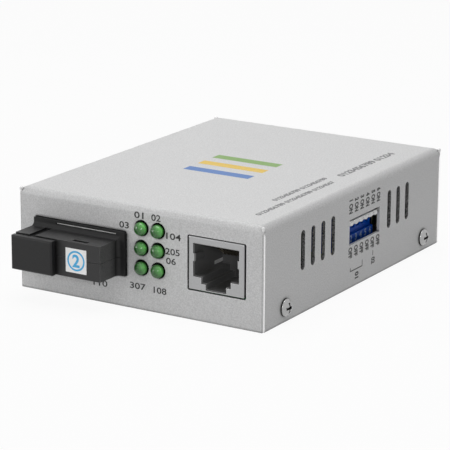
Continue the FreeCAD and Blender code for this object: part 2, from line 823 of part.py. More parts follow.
def mouth_outline(spread):
    """The stepped opening for a plug with its latch below, widened all round by spread."""
    right = [(mouth_widths[0] / 2 + spread, mouth_top + spread)]
    for width, level in zip(mouth_widths, mouth_levels):
        right.append((width / 2 + spread, level - spread))
        if width is not mouth_widths[-1]:
            step_in = mouth_widths[mouth_widths.index(width) + 1]
            right.append((step_in / 2 + spread, level - spread))
    left = [(-x, z) for x, z in reversed(right)]
    return polygon([(socket_x + x, z) for x, z in right + left], place_xz)


def shield_form(inset, bottom, back, fold):
    """The can's outer or inner form: a box with its front and upper folds rounded."""
    half = socket_width / 2 - inset
    face = socket_face + inset
    top = socket_top - inset
    box = block(socket_x - half, face, bottom, socket_x + half, back, top)
    folds = []
    for edge in box.Edges:
        middle = edge.CenterOfMass
        at_side = abs(abs(middle.x - socket_x) - half) < 0.01
        at_face = abs(middle.y - face) < 0.01
        at_top = abs(middle.z - top) < 0.01
        if (at_side and (at_face or at_top)) or (at_face and at_top):
            folds.append(edge)
    return box.makeFillet(fold, folds)


def mouth_spring(side):
    """A spring tongue folded in from one side of the mouth, leaning towards the middle."""
    root = side * (mouth_widths[0] / 2 - spring_gap - spring_thickness / 2)
    edge = side * (mouth_widths[0] / 2 + mouth_rim)
    start_y = socket_face + spring_thickness / 2
    path = ((start_y, edge), (start_y, root), (start_y + spring_length, root - side * spring_lean))
    low = mouth_levels[0] + spring_rise
    tongue = bent_strip(path, spring_thickness, spring_fold, -low - spring_height, spring_height)
    corners = [edge for edge in tongue.Edges if edge.BoundBox.YMax > path[-1][0] - spring_thickness
               and edge.Length < 1.5 * spring_thickness]
    tongue = tongue.makeFillet(spring_tip, corners)
    tongue.rotate(FreeCAD.Vector(0, 0, 0), FreeCAD.Vector(0, 1, 0), 90)
    tongue.translate(FreeCAD.Vector(socket_x, 0, 0))
    return tongue


def socket_shield():
    """A folded sheet-metal can: stepped mouth with two spring tongues in front, two board legs."""
    half = socket_width / 2
    outside = shield_form(0, board_top, socket_face + socket_length, shield_fold)
    inside = shield_form(shield_thickness, board_top - 1, socket_face + socket_length + 1,
                         shield_fold - shield_thickness)
    can = outside.cut(inside).cut(along_y(mouth_outline(mouth_rim), socket_face - 1, 2))
    for side in (1, -1):
        can = can.fuse(mouth_spring(side))
        inner = socket_x + side * (half - shield_thickness)
        low, high = sorted((inner, socket_x + side * half))
        can = can.fuse(block(low, shield_leg_y - shield_leg_width / 2, tail_end,
                             high, shield_leg_y + shield_leg_width / 2, board_top))
    return can.removeSplitter()


def socket_insert():
    """The moulded body inside the shield, with the plug cavity and the contact channels."""
    body = shield_form(shield_thickness + insert_fit, board_top, socket_face + socket_length,
                       shield_fold - shield_thickness)
    body = body.cut(along_y(mouth_outline(0), socket_face - 1, mouth_depth + 1))
    channel_half = contact_channel / 2
    channel_front = socket_face + contact_bend_setback - contact_channel_lead
    channels = [block(x - channel_half, channel_front, mouth_top - insert_fit,
                      x + channel_half, rear, mouth_top + contact_rise + contact_thickness)
                for x in contact_xs]
    return body.cut(channels)


def socket_contacts():
    """Eight spring wires: up behind the insert, forward under its ceiling, back down into the cavity."""
    top = mouth_top + contact_rise
    path = ((socket_face + contact_tip_setback, mouth_top - contact_tip_drop),
            (socket_face + contact_bend_setback, top),
            (contact_back_y, top),
            (contact_back_y, tail_end))
    return [bent_strip(path, contact_thickness, contact_bend_radius, x - contact_width / 2, contact_width)
            for x in contact_xs]


def lamp(x, z):
    """One indicator lamp: domed lens, straight body and rear flange."""
    dome_y = front - lamp_proud + lamp_radius
    body = rod(x, dome_y, z, lamp_radius, lamp_back - dome_y, (0, 1, 0))
    dome = Part.makeSphere(lamp_radius, FreeCAD.Vector(x, dome_y, z), FreeCAD.Vector(0, -1, 0), 0, 90, 360)
    flange = rod(x, lamp_holder_back, z, lamp_flange_radius, lamp_flange_thickness, (0, 1, 0))
    return body.fuse(dome).fuse(flange).removeSplitter()


def lamp_holder():
    """A block that stands on the board and holds the lamps in two columns of three."""
    holder = block(lamp_columns[0] - lamp_reach, lamp_holder_front, board_top,
                   lamp_columns[-1] + lamp_reach, lamp_holder_back,
                   lamp_rows[-1] + lamp_radius + lamp_holder_crown)
    bores = [rod(x, lamp_holder_front - 1, z, lamp_radius + lamp_holder_clearance, lamp_holder_depth + 2,
                 (0, 1, 0)) for x in lamp_columns for z in lamp_rows]
    return holder.cut(bores)


def lamp_leads():
    leads = []
    for x, bend_y, z in lamp_lead_places():
        half = lamp_lead / 2
        level = block(x - half, lamp_back, z - half, x + half, bend_y + half, z + half)
        upright = block(x - half, bend_y - half, tail_end, x + half, bend_y + half, z + half)
        leads.append(level.fuse(upright).removeSplitter())
    return leads


def switch_body():
    """The switch's housing: a shelf across its face and a slot with bearings for each lever."""
    half = switch_width / 2
    body = block(switch_back_x, switch_y - half, board_top, switch_face_x, switch_y + half, switch_top)
    cutters = [block(recess_x, switch_y - half - 1, shelf_z, switch_face_x + 1, switch_y + half + 1,
                     switch_top + 1)]
    slot_half = lever_neck_width / 2 + lever_gap
    bearing_half = slot_half + trunnion_length + trunnion_end_gap
    bearing_radius = trunnion_radius + trunnion_clearance
    boss_room = lever_boss_radius + lever_gap
    for y in lever_ys:
        cutters.append(block(lever_pivot_x, y - slot_half, slot_floor_z, switch_face_x, y + slot_half,
                             switch_top + 1))
        cutters.append(block(lever_pivot_x - boss_room, y - slot_half, lever_pivot_z - boss_room,
                             lever_pivot_x + boss_room, y + slot_half, switch_top + 1))
        cutters.append(rod(lever_pivot_x, y - bearing_half, lever_pivot_z, bearing_radius,
                           2 * bearing_half, (0, 1, 0)))
        cutters.append(block(lever_pivot_x - bearing_radius, y - bearing_half, lever_pivot_z,
                             lever_pivot_x + bearing_radius, y + bearing_half, switch_top + 1))
    return body.cut(cutters)


def switch_lid_plate():
    half = switch_width / 2
    return block(switch_back_x, switch_y - half, switch_top, recess_x, switch_y + half,
                 switch_top + switch_lid)


def lever_head_face():
    """The head's section in Y and Z: flat above, round below."""
    half = lever_head_width / 2
    up = lever_head_thickness / 2
    shoulder = up / 4
    corners = [place_yz(point) for point in ((half, -shoulder), (half, up), (-half, up), (-half, -shoulder))]
    edges = [Part.makeLine(start, end) for start, end in zip(corners, corners[1:])]
    edges.append(Part.Arc(corners[-1], place_yz((0, -up)), corners[0]).toShape())
    return Part.Face(Part.Wire(edges))


def switch_lever(y):
    """One rocking lever: boss with two trunnions, neck and rounded head, raised at rest."""
    half_neck = lever_neck_width / 2
    half_thick = lever_neck_thickness / 2
    head_start = lever_reach - lever_head_length
    neck = block(0, -half_neck, -half_thick, head_start + lever_head_bite, half_neck, half_thick)
    boss = rod(0, -half_neck, 0, lever_boss_radius, lever_neck_width, (0, 1, 0))
    axle = rod(0, -half_neck - trunnion_length, 0, trunnion_radius,
               lever_neck_width + 2 * trunnion_length, (0, 1, 0))
    head = along_x(lever_head_face(), head_start, lever_head_length)
    lever = neck.fuse(boss).fuse(axle).fuse(head).removeSplitter()
    lever.Placement = FreeCAD.Placement(
        FreeCAD.Vector(lever_pivot_x, y, lever_pivot_z),
        FreeCAD.Rotation(FreeCAD.Vector(0, 1, 0), -lever_angle),
    )
    return lever


def switch_pins():
    return [square_tail(x, y, switch_pin, switch_pin, board_top) for x in switch_rows for y in lever_ys]


def power_inlet_body():
    """The moulded socket behind the rear panel."""
    half = inlet_width / 2
    body = block(inlet_x - half, rear - inlet_length, board_top, inlet_x + half, rear,
                 board_top + inlet_height)
    bore = rod(inlet_x, rear - inlet_bore_depth, inlet_z, inlet_bore_radius, inlet_bore_depth + 1, (0, 1, 0))
    seat = rod(inlet_x, rear - inlet_bore_depth - inlet_pin_seat, inlet_z, inlet_pin_radius + inlet_pin_fit,
               inlet_pin_seat + 1, (0, 1, 0))
    return body.cut(bore).cut(seat)


def power_inlet_pin():
    start = rear - inlet_bore_depth - inlet_pin_seat
    length = inlet_bore_depth + inlet_pin_seat - inlet_pin_recess
    pin = rod(inlet_x, start, inlet_z, inlet_pin_radius, length, (0, 1, 0))
    tip = [edge for edge in pin.Edges if abs(edge.BoundBox.YMin - (start + length)) < 0.01]
    return pin.makeChamfer(inlet_pin_radius / 2, tip)


def power_inlet_terminals():
    return [square_tail(x, y, size_x, size_y, board_top) for x, y, size_x, size_y in terminal_places()]


def controller_chip():
    half = controller_size / 2
    low = board_top + chip_lift
    chip = block(controller_x - half, controller_y - half, low, controller_x + half, controller_y + half,
                 low + controller_height)
    mark = rod(controller_x - half + chip_mark_inset, controller_y + half - chip_mark_inset,
               low + controller_height - chip_mark_depth, chip_mark_radius, 1, (0, 0, 1))
    return chip.cut(mark)


def controller_leads():
    half = controller_size / 2
    half_lead = controller_lead_width / 2
    leads = []
    for index in range(controller_lead_count):
        along = (index - (controller_lead_count - 1) / 2) * controller_lead_pitch
        for side in (1, -1):
            near, far = sorted((side * half, side * (half + lead_reach)))
            leads.append(block(controller_x + near, controller_y + along - half_lead, board_top,
                               controller_x + far, controller_y + along + half_lead,
                               board_top + lead_thickness))
            leads.append(block(controller_x + along - half_lead, controller_y + near, board_top,
                               controller_x + along + half_lead, controller_y + far,
                               board_top + lead_thickness))
    return leads


def line_transformer():
    half_x = transformer_width / 2
    half_y = transformer_length / 2
    low = board_top + chip_lift
    return block(transformer_x - half_x, transformer_y - half_y, low,
                 transformer_x + half_x, transformer_y + half_y, low + transformer_height)


def transformer_leads():
    half = transformer_width / 2
    leads = []
    for index in range(transformer_lead_count):
        y = transformer_y + (index - (transformer_lead_count - 1) / 2) * transformer_lead_pitch
        for side in (1, -1):
            near, far = sorted((side * half, side * (half + lead_reach)))
            leads.append(block(transformer_x + near, y - controller_lead_width / 2, board_top,
                               transformer_x + far, y + controller_lead_width / 2,
                               board_top + lead_thickness))
    return leads


def crystal_can():
    """A round-ended metal can."""
    radius = crystal_width / 2
    run = crystal_length / 2 - radius
    can = block(crystal_x - run, crystal_y - radius, board_top, crystal_x + run, crystal_y + radius,
                board_top + crystal_height)
    for side in (1, -1):
        can = can.fuse(rod(crystal_x + side * run, crystal_y, board_top, radius, crystal_height, (0, 0, 1)))
    return can.removeSplitter()


def electrolytic_capacitors():
    return [rod(x, y, board_top, radius, height, (0, 0, 1)) for x, y, radius, height in capacitor_places]


def capacitor_leads():
    return [square_tail(x, y, lamp_lead, lamp_lead, board_top) for x, y in capacitor_lead_places()]


def voltage_regulator():
    half_x = regulator_width / 2
    half_y = regulator_length / 2
    return block(regulator_x - half_x, regulator_y - half_y, board_top,
                 regulator_x + half_x, regulator_y + half_y, board_top + regulator_height)


def regulator_tabs():
    half_x = regulator_width / 2
    half_y = regulator_length / 2
    top = board_top + regulator_tab_thickness
    tabs = [block(regulator_x - half_x + heat_tab_inset, regulator_y + half_y, board_top,
                  regulator_x + half_x - heat_tab_inset, regulator_y + half_y + heat_tab_reach, top)]
    for index in (-1, 0, 1):
        low = regulator_x + index * regulator_tab_pitch - regulator_tab_width / 2
        tabs.append(block(low, regulator_y - half_y - regulator_tab_reach, board_top,
                          low + regulator_tab_width, regulator_y - half_y, top))
    return tabs


def chip_resistors():
    chips = []
    for (x, y), count in zip(resistor_starts, resistor_counts):
        for index in range(count):
            left = x + index * resistor_pitch
            chips.append(block(left, y, board_top, left + resistor_width, y + resistor_length,
                               board_top + resistor_height))
    return chips


def jumper_header():
    reach = jumper_count * jumper_pitch / 2
    base = block(jumper_x - jumper_pitch / 2, jumper_y - reach, board_top,
                 jumper_x + jumper_pitch / 2, jumper_y + reach, board_top + jumper_base)
    half = jumper_pin / 2 + jumper_fit
    bores = [block(jumper_x - half, y - half, board_top - 1, jumper_x + half, y + half,
                   board_top + jumper_base + 1) for y in jumper_ys()]
    return base.cut(bores)


def jumper_pins():
    return [square_tail(jumper_x, y, jumper_pin, jumper_pin, board_top + jumper_base + jumper_pin_height)
            for y in jumper_ys()]


def all_parts():
    transceiver = transceiver_form()
    parts = {
        "top_cover": top_cover(),
        "base_tray": base_tray(),
        "case_screws": case_screws(),
        "board_standoffs": board_standoffs(),
        "board_screws": board_screws(),
        "main_board": main_board(),
        "transceiver_upper_housing": transceiver_half(transceiver, parting_z, collar_top + 1),
        "transceiver_lower_housing": transceiver_half(transceiver, nose_bottom - 1, parting_z),
        "earthing_clip": earthing_clip(),
        "optical_barrel": optical_barrel(),
        "transceiver_pins": transceiver_pins(),
        "port_dust_cap": port_dust_cap(),
        "socket_shield": socket_shield(),
        "socket_insert": socket_insert(),
        "socket_contacts": socket_contacts(),
        "lamp_holder": lamp_holder(),
        "lamp_leads": lamp_leads(),
        "switch_body": switch_body(),
        "switch_lid": switch_lid_plate(),
        "switch_pins": switch_pins(),
        "power_inlet_body": power_inlet_body(),
        "power_inlet_pin": power_inlet_pin(),
        "power_inlet_terminals": power_inlet_terminals(),
        "controller_chip": controller_chip(),
        "controller_leads": controller_leads(),
        "line_transformer": line_transformer(),
        "transformer_leads": transformer_leads(),
        "crystal_can": crystal_can(),
        "electrolytic_capacitors": electrolytic_capacitors(),
        "capacitor_leads": capacitor_leads(),
        "voltage_regulator": voltage_regulator(),
        "regulator_tabs": regulator_tabs(),
        "chip_resistors": chip_resistors(),
        "jumper_header": jumper_header(),
        "jumper_pins": jumper_pins(),
    }
    lamp_places = [(x, z) for z in reversed(lamp_rows) for x in lamp_columns]
    for number, (x, z) in enumerate(lamp_places, 1):
        parts[f"indicator_lamp_{number}"] = lamp(x, z)
    for number, y in enumerate(lever_ys, 1):
        parts[f"option_lever_{number}"] = switch_lever(y)
    return parts


def main():
    os.makedirs("parts", exist_ok=True)
    for name, shape in all_parts().items():
        if isinstance(shape, list):
            shape = Part.makeCompound(shape)
        shape.exportStep(f"parts/{name}.step")
        print(name, len(shape.Solids), "solids", round(shape.Volume, 3), "mm3", shape.isValid())


main()
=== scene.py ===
"""Finishes a small desktop fibre media converter: paint, plastics, plating, lamps and print.

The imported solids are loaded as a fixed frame. Each operator below dresses one piece or one
group of like pieces, and the last one builds the stage, the lamps and the camera.
"""

from contextlib import contextmanager
from functools import cache
import json
import math

import bpy
from bpy.props import FloatProperty, FloatVectorProperty, IntProperty, PointerProperty
from mathutils import Matrix, Vector

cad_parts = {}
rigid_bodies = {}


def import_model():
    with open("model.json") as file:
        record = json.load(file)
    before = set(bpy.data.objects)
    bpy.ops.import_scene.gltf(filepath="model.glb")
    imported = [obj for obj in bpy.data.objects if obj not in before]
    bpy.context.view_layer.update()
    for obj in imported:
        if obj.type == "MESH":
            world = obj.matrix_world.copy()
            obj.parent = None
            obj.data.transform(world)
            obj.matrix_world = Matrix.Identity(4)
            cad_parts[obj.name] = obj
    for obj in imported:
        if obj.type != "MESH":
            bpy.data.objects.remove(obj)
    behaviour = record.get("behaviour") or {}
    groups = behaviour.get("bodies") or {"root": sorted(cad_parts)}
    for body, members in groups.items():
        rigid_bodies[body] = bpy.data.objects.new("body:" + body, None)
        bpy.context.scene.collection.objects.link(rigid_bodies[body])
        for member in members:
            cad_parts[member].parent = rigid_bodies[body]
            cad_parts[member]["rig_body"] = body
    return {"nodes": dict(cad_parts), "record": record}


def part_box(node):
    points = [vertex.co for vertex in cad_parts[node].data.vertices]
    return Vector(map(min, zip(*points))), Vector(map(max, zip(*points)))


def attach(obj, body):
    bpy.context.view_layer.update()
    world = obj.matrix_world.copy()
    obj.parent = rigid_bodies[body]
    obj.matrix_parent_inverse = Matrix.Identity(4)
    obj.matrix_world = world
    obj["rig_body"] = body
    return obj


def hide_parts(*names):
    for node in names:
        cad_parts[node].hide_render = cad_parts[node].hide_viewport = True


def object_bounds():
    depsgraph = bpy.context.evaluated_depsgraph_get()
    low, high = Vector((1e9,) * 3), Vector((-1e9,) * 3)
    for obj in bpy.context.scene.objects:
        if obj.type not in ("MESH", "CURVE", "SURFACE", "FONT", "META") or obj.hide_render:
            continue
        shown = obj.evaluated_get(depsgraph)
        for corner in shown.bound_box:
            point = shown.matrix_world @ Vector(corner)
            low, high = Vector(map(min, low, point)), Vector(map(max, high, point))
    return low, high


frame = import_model()
CAD_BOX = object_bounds()
CASE_LOW, CASE_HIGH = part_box("top_cover")

bl_info = {
    "name": "Fibre Media Converter Finishes",
    "version": (1, 0, 0),
    "blender": (4, 5, 0),
    "location": "3D View > Sidebar > Converter",
    "description": "Dresses the frame of a desktop fibre media converter and lights it",
    "category": "Object",
}

MM = 0.001
SLOT_OF = {part["node"]: part["material_slot"] for part in frame["record"]["subparts"]}

RIGHT = Vector((1, 0, 0))
BACK = Vector((0, 1, 0))
UP = Vector((0, 0, 1))
LEFT, FRONT, DOWN = -RIGHT, -BACK, -UP

LAMPS = [f"indicator_lamp_{number}" for number in range(1, 7)]
LEVERS = [f"option_lever_{number}" for number in range(1, 7)]
BESIDE = 4 * MM             # the option window ends this far past the end levers
WINDOW_FRONT, WINDOW_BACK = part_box(LEVERS[0])[0].y - BESIDE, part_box(LEVERS[-1])[1].y + BESIDE

WELD = 1e-6                 # duplicate corners of the loose triangles are merged within this
SAME = 0.01 * MM            # two places count as one within this
NEAR = 0.05 * MM            # faces this near to an outer face belong to it
RIM = 3 * MM                # no hole is this near to the cover's outer edges
FLAT_ANGLE = math.radians(0.4)
CORNER_ANGLE = math.radians(28)
CURVE_ANGLE = math.radians(38)
DOME_ANGLE = math.radians(50)
INK = 0.012 * MM            # thickness of the print
OUTWARDS = 0.6              # how far a thin plate grows out of its surface, from -1 to 1


# ---------------- settings
def kind_of_setting(make, convert=None, **rules):
    """A function that makes one kind of setting from its name, description and default."""
    def setting(name, description, default):
        return make(name=name, description=description,
                    default=convert(default) if convert else default, **rules)
    return setting


length_setting = kind_of_setting(FloatProperty, lambda length: length * MM, min=0.0, precision=6,
                                 subtype="DISTANCE", unit="LENGTH")
colour_setting = kind_of_setting(FloatVectorProperty, size=3, min=0.0, max=1.0, subtype="COLOR")
share_setting = kind_of_setting(FloatProperty, min=0.0, max=1.0, subtype="FACTOR")
angle_setting = kind_of_setting(FloatProperty, math.radians, subtype="ANGLE", unit="ROTATION")
power_setting = kind_of_setting(FloatProperty, min=0.0, subtype="POWER", unit="POWER")


class CaseSettings(bpy.types.PropertyGroup):
    paint: colour_setting("Paint", "Silver grey of the cover", (0.615, 0.615, 0.617))
    gloss: share_setting("Roughness", "Roughness of the satin paint", 0.47)
    grain: length_setting("Grain", "Size of one grain of the paint", 0.32)
    edge: length_setting("Edge", "Radius of the paint on every cut edge", 0.11)
    sheet: length_setting("Sheet", "Thickness of the folded sheet", 0.8)
    joint: length_setting("Joint", "Open joint beside each upright flange edge", 0.15)
    closed: share_setting("Closed", "Share of each open joint that the paint closes", 0.8)
    fold: length_setting("Fold", "Outside radius of the cover's folds", 2.0)
    head_share: share_setting("Head share", "Width left to each screw head by its rolled rim", 0.9)
    zinc: colour_setting("Zinc", "Colour of the plated tray", (0.56, 0.57, 0.57))


class PortSettings(bpy.types.PropertyGroup):
    plastic: colour_setting("Plastic", "Black of the transceiver housing", (0.03, 0.03, 0.0304))
    cap: colour_setting("Cap", "Black of the rubbery dust cap", (0.009, 0.009, 0.0093))
    edge: length_setting("Edge", "Moulded radius of the housing's corners", 0.22)
    cap_edge: length_setting("Cap edge", "Moulded radius of the dust cap's corners", 0.3)
    nose: length_setting("Nose", "Width of the housing in front of the collar", 25.2)
    label: length_setting("Label", "Side of the square label", 6.15)
    label_inset: length_setting("Label inset", "Label to the nose's right side", 4.0)
    ring: length_setting("Ring", "Outside width of the printed ring", 5.15)
    ring_stroke: length_setting("Ring stroke", "Width of the ring's line", 0.46)
    numeral: length_setting("Numeral", "Height of the numeral in the ring", 3.3)
    label_ink: colour_setting("Label ink", "Blue print on the label", (0.075, 0.47, 0.84))


class SocketSettings(bpy.types.PropertyGroup):
    plating: colour_setting("Plating", "Colour of the tinned shield", (0.385, 0.387, 0.39))
    edge: length_setting("Edge", "Radius of the shield's edges", 0.07)
    insert_edge: length_setting("Insert edge", "Radius of the insert's edges", 0.09)
    gilding: colour_setting("Gilding", "Colour of the spring contacts", (0.5, 0.43, 0.3))
    cavity: length_setting("Cavity", "Width of the cavity that takes the plug", 12.5)


class LampSettings(bpy.types.PropertyGroup):
    # shade, glow and rim are painted light: the dark side, the lit side and a bright rim of each
    # dome
    shade: colour_setting("Shade", "Dark side of the tinted resin", (0.022, 0.1, 0.022))
    glow: colour_setting("Glow", "Side of the resin that gathers the light", (0.2, 0.72, 0.16))
    rim: colour_setting("Rim", "Thin bright line where the dome meets the panel",
                        (0.32, 0.5, 0.16))
    haze: share_setting("Haze", "Share of light scattered inside the resin", 0.25)
    dome: length_setting("Dome", "Radius of each dome", 1.8)
    proud: length_setting("Proud", "Foot of each dome in front of the panel", 0.1)
    shift: length_setting("Shift", "Each dome to the right in its hole", 0.07)
    steps: IntProperty(name="Steps", description="Subdivisions of each dome", default=2, min=0,
                       max=3)


class SwitchSettings(bpy.types.PropertyGroup):
    body: colour_setting("Body", "Blue of the switch body", (0.001, 0.055, 0.36))
    lever: colour_setting("Lever", "White of the levers", (0.96, 0.96, 0.95))
    edge: length_setting("Edge", "Moulded radius of the body's corners", 0.18)
    lever_edge: length_setting("Lever edge", "Moulded radius of the levers", 0.32)
    digit: length_setting("Digit", "Height of the numbers on the body", 1.75)
    digit_foot: length_setting("Digit foot", "The numbers' foot above the underside", 10.95)
    digit_ink: colour_setting("Digit ink", "Pale print on the body", (0.27, 0.36, 0.5))


class PrintSettings(bpy.types.PropertyGroup):
    ink: colour_setting("Ink", "Black of the screen print", (0.011, 0.011, 0.011))
    letter: length_setting("Letter", "Height of the numbers on the panels", 1.62)
    side_letter: length_setting("Side letter", "Height of the side legend", 1.95)
    side_word: length_setting("Side word", "Length of one word of the side legend", 2.9)
    stroke: length_setting("Stroke", "Width of the printed rules", 0.28)
    weight: share_setting("Weight", "Boldness of the side and top print", 0.05)
    small: length_setting("Small", "Height of the small figures on the top", 1.6)
    large: length_setting("Large", "Height of the large figures on the top", 2.3)
    grey: colour_setting("Grey", "Grey print on the top", (0.17, 0.17, 0.175))
    bar: length_setting("Bar", "Length of each colour bar on the top", 19.5)
    band: length_setting("Band", "Width of each colour bar on the top", 3.4)
    blue: colour_setting("Blue", "First colour bar", (0.085, 0.2, 0.49))
    yellow: colour_setting("Yellow", "Second colour bar", (0.80, 0.55, 0.09))
    green: colour_setting("Green", "Third colour bar", (0.21, 0.37, 0.1))


class StageSettings(bpy.types.PropertyGroup):
    camera_place: FloatVectorProperty(
        name="Camera place", description="Where the camera stands",
        default=(0.295, -0.4868, 0.1702), subtype="XYZ", unit="LENGTH")
    camera_tilt: angle_setting("Tilt", "Camera's turn from straight down", 74.337)
    camera_roll: angle_setting("Roll", "Camera's turn about its own line of sight", -0.258)
    camera_heading: angle_setting("Heading", "Camera's turn about the vertical", 31.606)
    lens: FloatProperty(name="Lens", description="Focal length", default=181.2, min=1.0,
                        subtype="DISTANCE_CAMERA")
    fill: share_setting("Fill", "Level of the plain light from all round", 0.04)
    top: power_setting("Top", "Power of the wide overhead lamp", 3.25)
    front: power_setting("Front", "Power of the lamp in front", 0.08)
    left: power_setting("Left", "Power of the low lamp at the front left", 1.05)
    rear: power_setting("Rear", "Power of the high lamp at the rear left", 0.57)
    glint: power_setting("Glint", "Power of the small lamp that gives the glints", 0.56)


class ConverterSettings(bpy.types.PropertyGroup):
    case: PointerProperty(type=CaseSettings, name="Case", description="Cover and tray")
    port: PointerProperty(type=PortSettings, name="Port", description="Optical transceiver")
    socket: PointerProperty(type=SocketSettings, name="Socket", description="Network socket")
    lamps: PointerProperty(type=LampSettings, name="Lamps", description="Indicator lamps")
    switch: PointerProperty(type=SwitchSettings, name="Switch", description="Option switch")
    print: PointerProperty(type=PrintSettings, name="Print", description="Screen print")
    stage: PointerProperty(type=StageSettings, name="Stage", description="Camera and lamps")


# ---------------- nodes
def put(socket, value):
    """Links an input to another socket, or sets its value."""
    if isinstance(value, bpy.types.NodeSocket):
        socket.id_data.links.new(value, socket)
    else:
        socket.default_value = value


def node(tree, kind, *inputs, **values):
    """Adds a node. Its inputs are given in order or by name, with _ for a space."""
    made = tree.nodes.new(f"ShaderNode{kind}")
    for key, value in values.items():
        label = key.replace("_", " ")
        if label in made.inputs:
            put(made.inputs[label], value)
        else:
            setattr(made, key, value)
    for socket, value in zip(made.inputs, inputs):
        put(socket, value)
    return made


def calculate(tree, operation, *inputs, **values):
    return node(tree, "Math", *inputs, operation=operation, **values).outputs[0]


def ranged(source, **ends):
    """A value mapped from one range to another. A range that isn't given is 0 to 1."""
    return node(source.id_data, "MapRange", Value=source, **ends).outputs["Result"]


def object_place(tree):
    return node(tree, "TexCoord").outputs["Object"]


def noise(tree, size, **settings):
    """Noise that is fixed to the piece, with patches of one size."""
    return node(tree, "TexNoise", Vector=object_place(tree),
                Scale=calculate(tree, "DIVIDE", 1.0, size), **settings).outputs["Fac"]


def fine_grain(tree, size):
    """Fine even grain, for a speckle in the colour and for the bump."""
    return ranged(noise(tree, size, Detail=2.0, Roughness=0.65), From_Min=0.3, From_Max=0.7)


def handling(tree, size):
    """Slow cloudy patches, as left by handling and by uneven spray or plating."""
    return noise(tree, size, Detail=4.0, Roughness=0.55, Distortion=0.6)


def rubbed_edge(tree, radius):
    """A painted highlight along corners, where the rounded normal leaves the flat one."""
    rounded = node(tree, "Bevel", Radius=radius, samples=6).outputs["Normal"]
    flat = node(tree, "NewGeometry").outputs["Normal"]
    alike = node(tree, "VectorMath", rounded, flat, operation="DOT_PRODUCT")
    return ranged(alike.outputs["Value"], From_Min=0.99, From_Max=0.8)


def hollow(tree, reach):
    """Painted shade in hollows and inner corners, darker the more closed in they are."""
    open_share = node(tree, "AmbientOcclusion", Distance=reach, samples=8)
    return ranged(open_share.outputs["AO"], From_Min=0.93, From_Max=0.6)


@cache
def shared_group(effect):
    """The node group of one effect from above, with a size going in and a mask coming out."""
    shared = bpy.data.node_groups.new(effect.__name__, "ShaderNodeTree")
    for label, way in (("Size", "INPUT"), ("Mask", "OUTPUT")):
        shared.interface.new_socket(name=label, in_out=way, socket_type="NodeSocketFloat")
    given, out = shared.nodes.new("NodeGroupInput"), shared.nodes.new("NodeGroupOutput")
    put(out.inputs[0], effect(shared, given.outputs[0]))
    return shared


def group(tree, effect, size):
    """Places an effect in a material. The size is in mm."""
    placed = node(tree, "Group", node_tree=shared_group(effect))
    placed.inputs[0].default_value = size * MM
    return placed.outputs[0]


# ---------------- materials
def rgba(colour, lighter=1.0):
    """A full colour from three channels, or from one number for a plain grey."""
    channels = (colour,) * 3 if isinstance(colour, float) else colour
    return (*[min(1.0, max(0.0, channel * lighter)) for channel in channels], 1.0)


def mix_colours(mask, first, second):
    """A colour between two colours or two sockets, by a mask."""
    mixed = node(mask.id_data, "Mix", data_type="RGBA", Factor=mask)
    for label, value in (("A", first), ("B", second)):
        put(next(s for s in mixed.inputs if s.name == label and s.type == "RGBA"), value)
    return next(s for s in mixed.outputs if s.type == "RGBA")


def new_material(name, **inputs):
    """A material, its tree and its shader, with the shader's own inputs set."""
    material = bpy.data.materials.new(name)
    material.use_nodes = True
    shader = material.node_tree.nodes["Principled BSDF"]
    for key, value in inputs.items():
        shader.inputs[key.replace("_", " ")].default_value = value
    return material, material.node_tree, shader


def finish(name, colour, roughness, metallic=0.0, grain=0.3, relief=0.004, speckle=0.12,
           cloud=(0.1, 14), roughness_range=0.12, edge=None, hollow_shade=None, coat=0.0,
           specular=0.5, haze=0.0):
    """A solid finish with grain, clouds, a painted highlight along edges and painted shade in
    hollows, in millimetres.

    cloud gives the clouds' strength and size, edge the width and colour of the painted highlight
    along edges, and crevice the reach and the darkness of the painted shade in hollows.
    """
    material, tree, shader = new_material(
        name, Metallic=metallic, Coat_Weight=coat, Specular_IOR_Level=specular,
        Subsurface_Weight=haze, Subsurface_Radius=(1.0, 1.0, 1.0), Subsurface_Scale=1.2 * MM)
    fine = group(tree, fine_grain, grain)
    clouds = group(tree, handling, cloud[1])
    shade = mix_colours(fine, rgba(colour, 1 - speckle / 2), rgba(colour, 1 + speckle / 2))
    cloudy = ranged(clouds, To_Min=0.0, To_Max=cloud[0])
    shade = mix_colours(cloudy, shade, rgba(colour, 0.7))
    # painted highlight along edges
    if edge:
        shade = mix_colours(group(tree, rubbed_edge, edge[0]), shade, rgba(edge[1]))
    # painted shade in hollows
    if hollow_shade:
        shade = mix_colours(group(tree, hollow, hollow_shade[0]), shade, rgba(colour, hollow_shade[1]))
    put(shader.inputs["Base Color"], shade)
    put(shader.inputs["Roughness"],
        ranged(clouds, To_Min=roughness - roughness_range / 2,
               To_Max=roughness + roughness_range / 2))
    bump = node(tree, "Bump", Distance=relief * MM, Height=fine)
    put(shader.inputs["Normal"], bump.outputs["Normal"])
    return material


def overlay(material, mask, colour):
    """Lays a colour over a finish where the mask says."""
    base = material.node_tree.nodes["Principled BSDF"].inputs["Base Color"]
    put(base, mix_colours(mask, base.links[0].from_socket, rgba(colour)))
    return material


def case_paint(case):
    """Satin silver paint with a fine metallic grain, a painted highlight along its edges and
    painted shade in its hollows.
    """
    return finish("satin silver paint", case.paint, case.gloss, metallic=0.12,
                  grain=case.grain / MM, relief=0.016, speckle=0.3, cloud=(0.06, 14),
                  edge=(0.2, [channel * 1.5 for channel in case.paint]), hollow_shade=(0.9, 0.15),
                  specular=0.4)


def printed_ink(name, colour):
    """Screen print: a dull ink whose cover thins a little in the paint's grain."""
    return finish(name, colour, 0.55, grain=0.18, speckle=0.3, cloud=(0.12, 5))


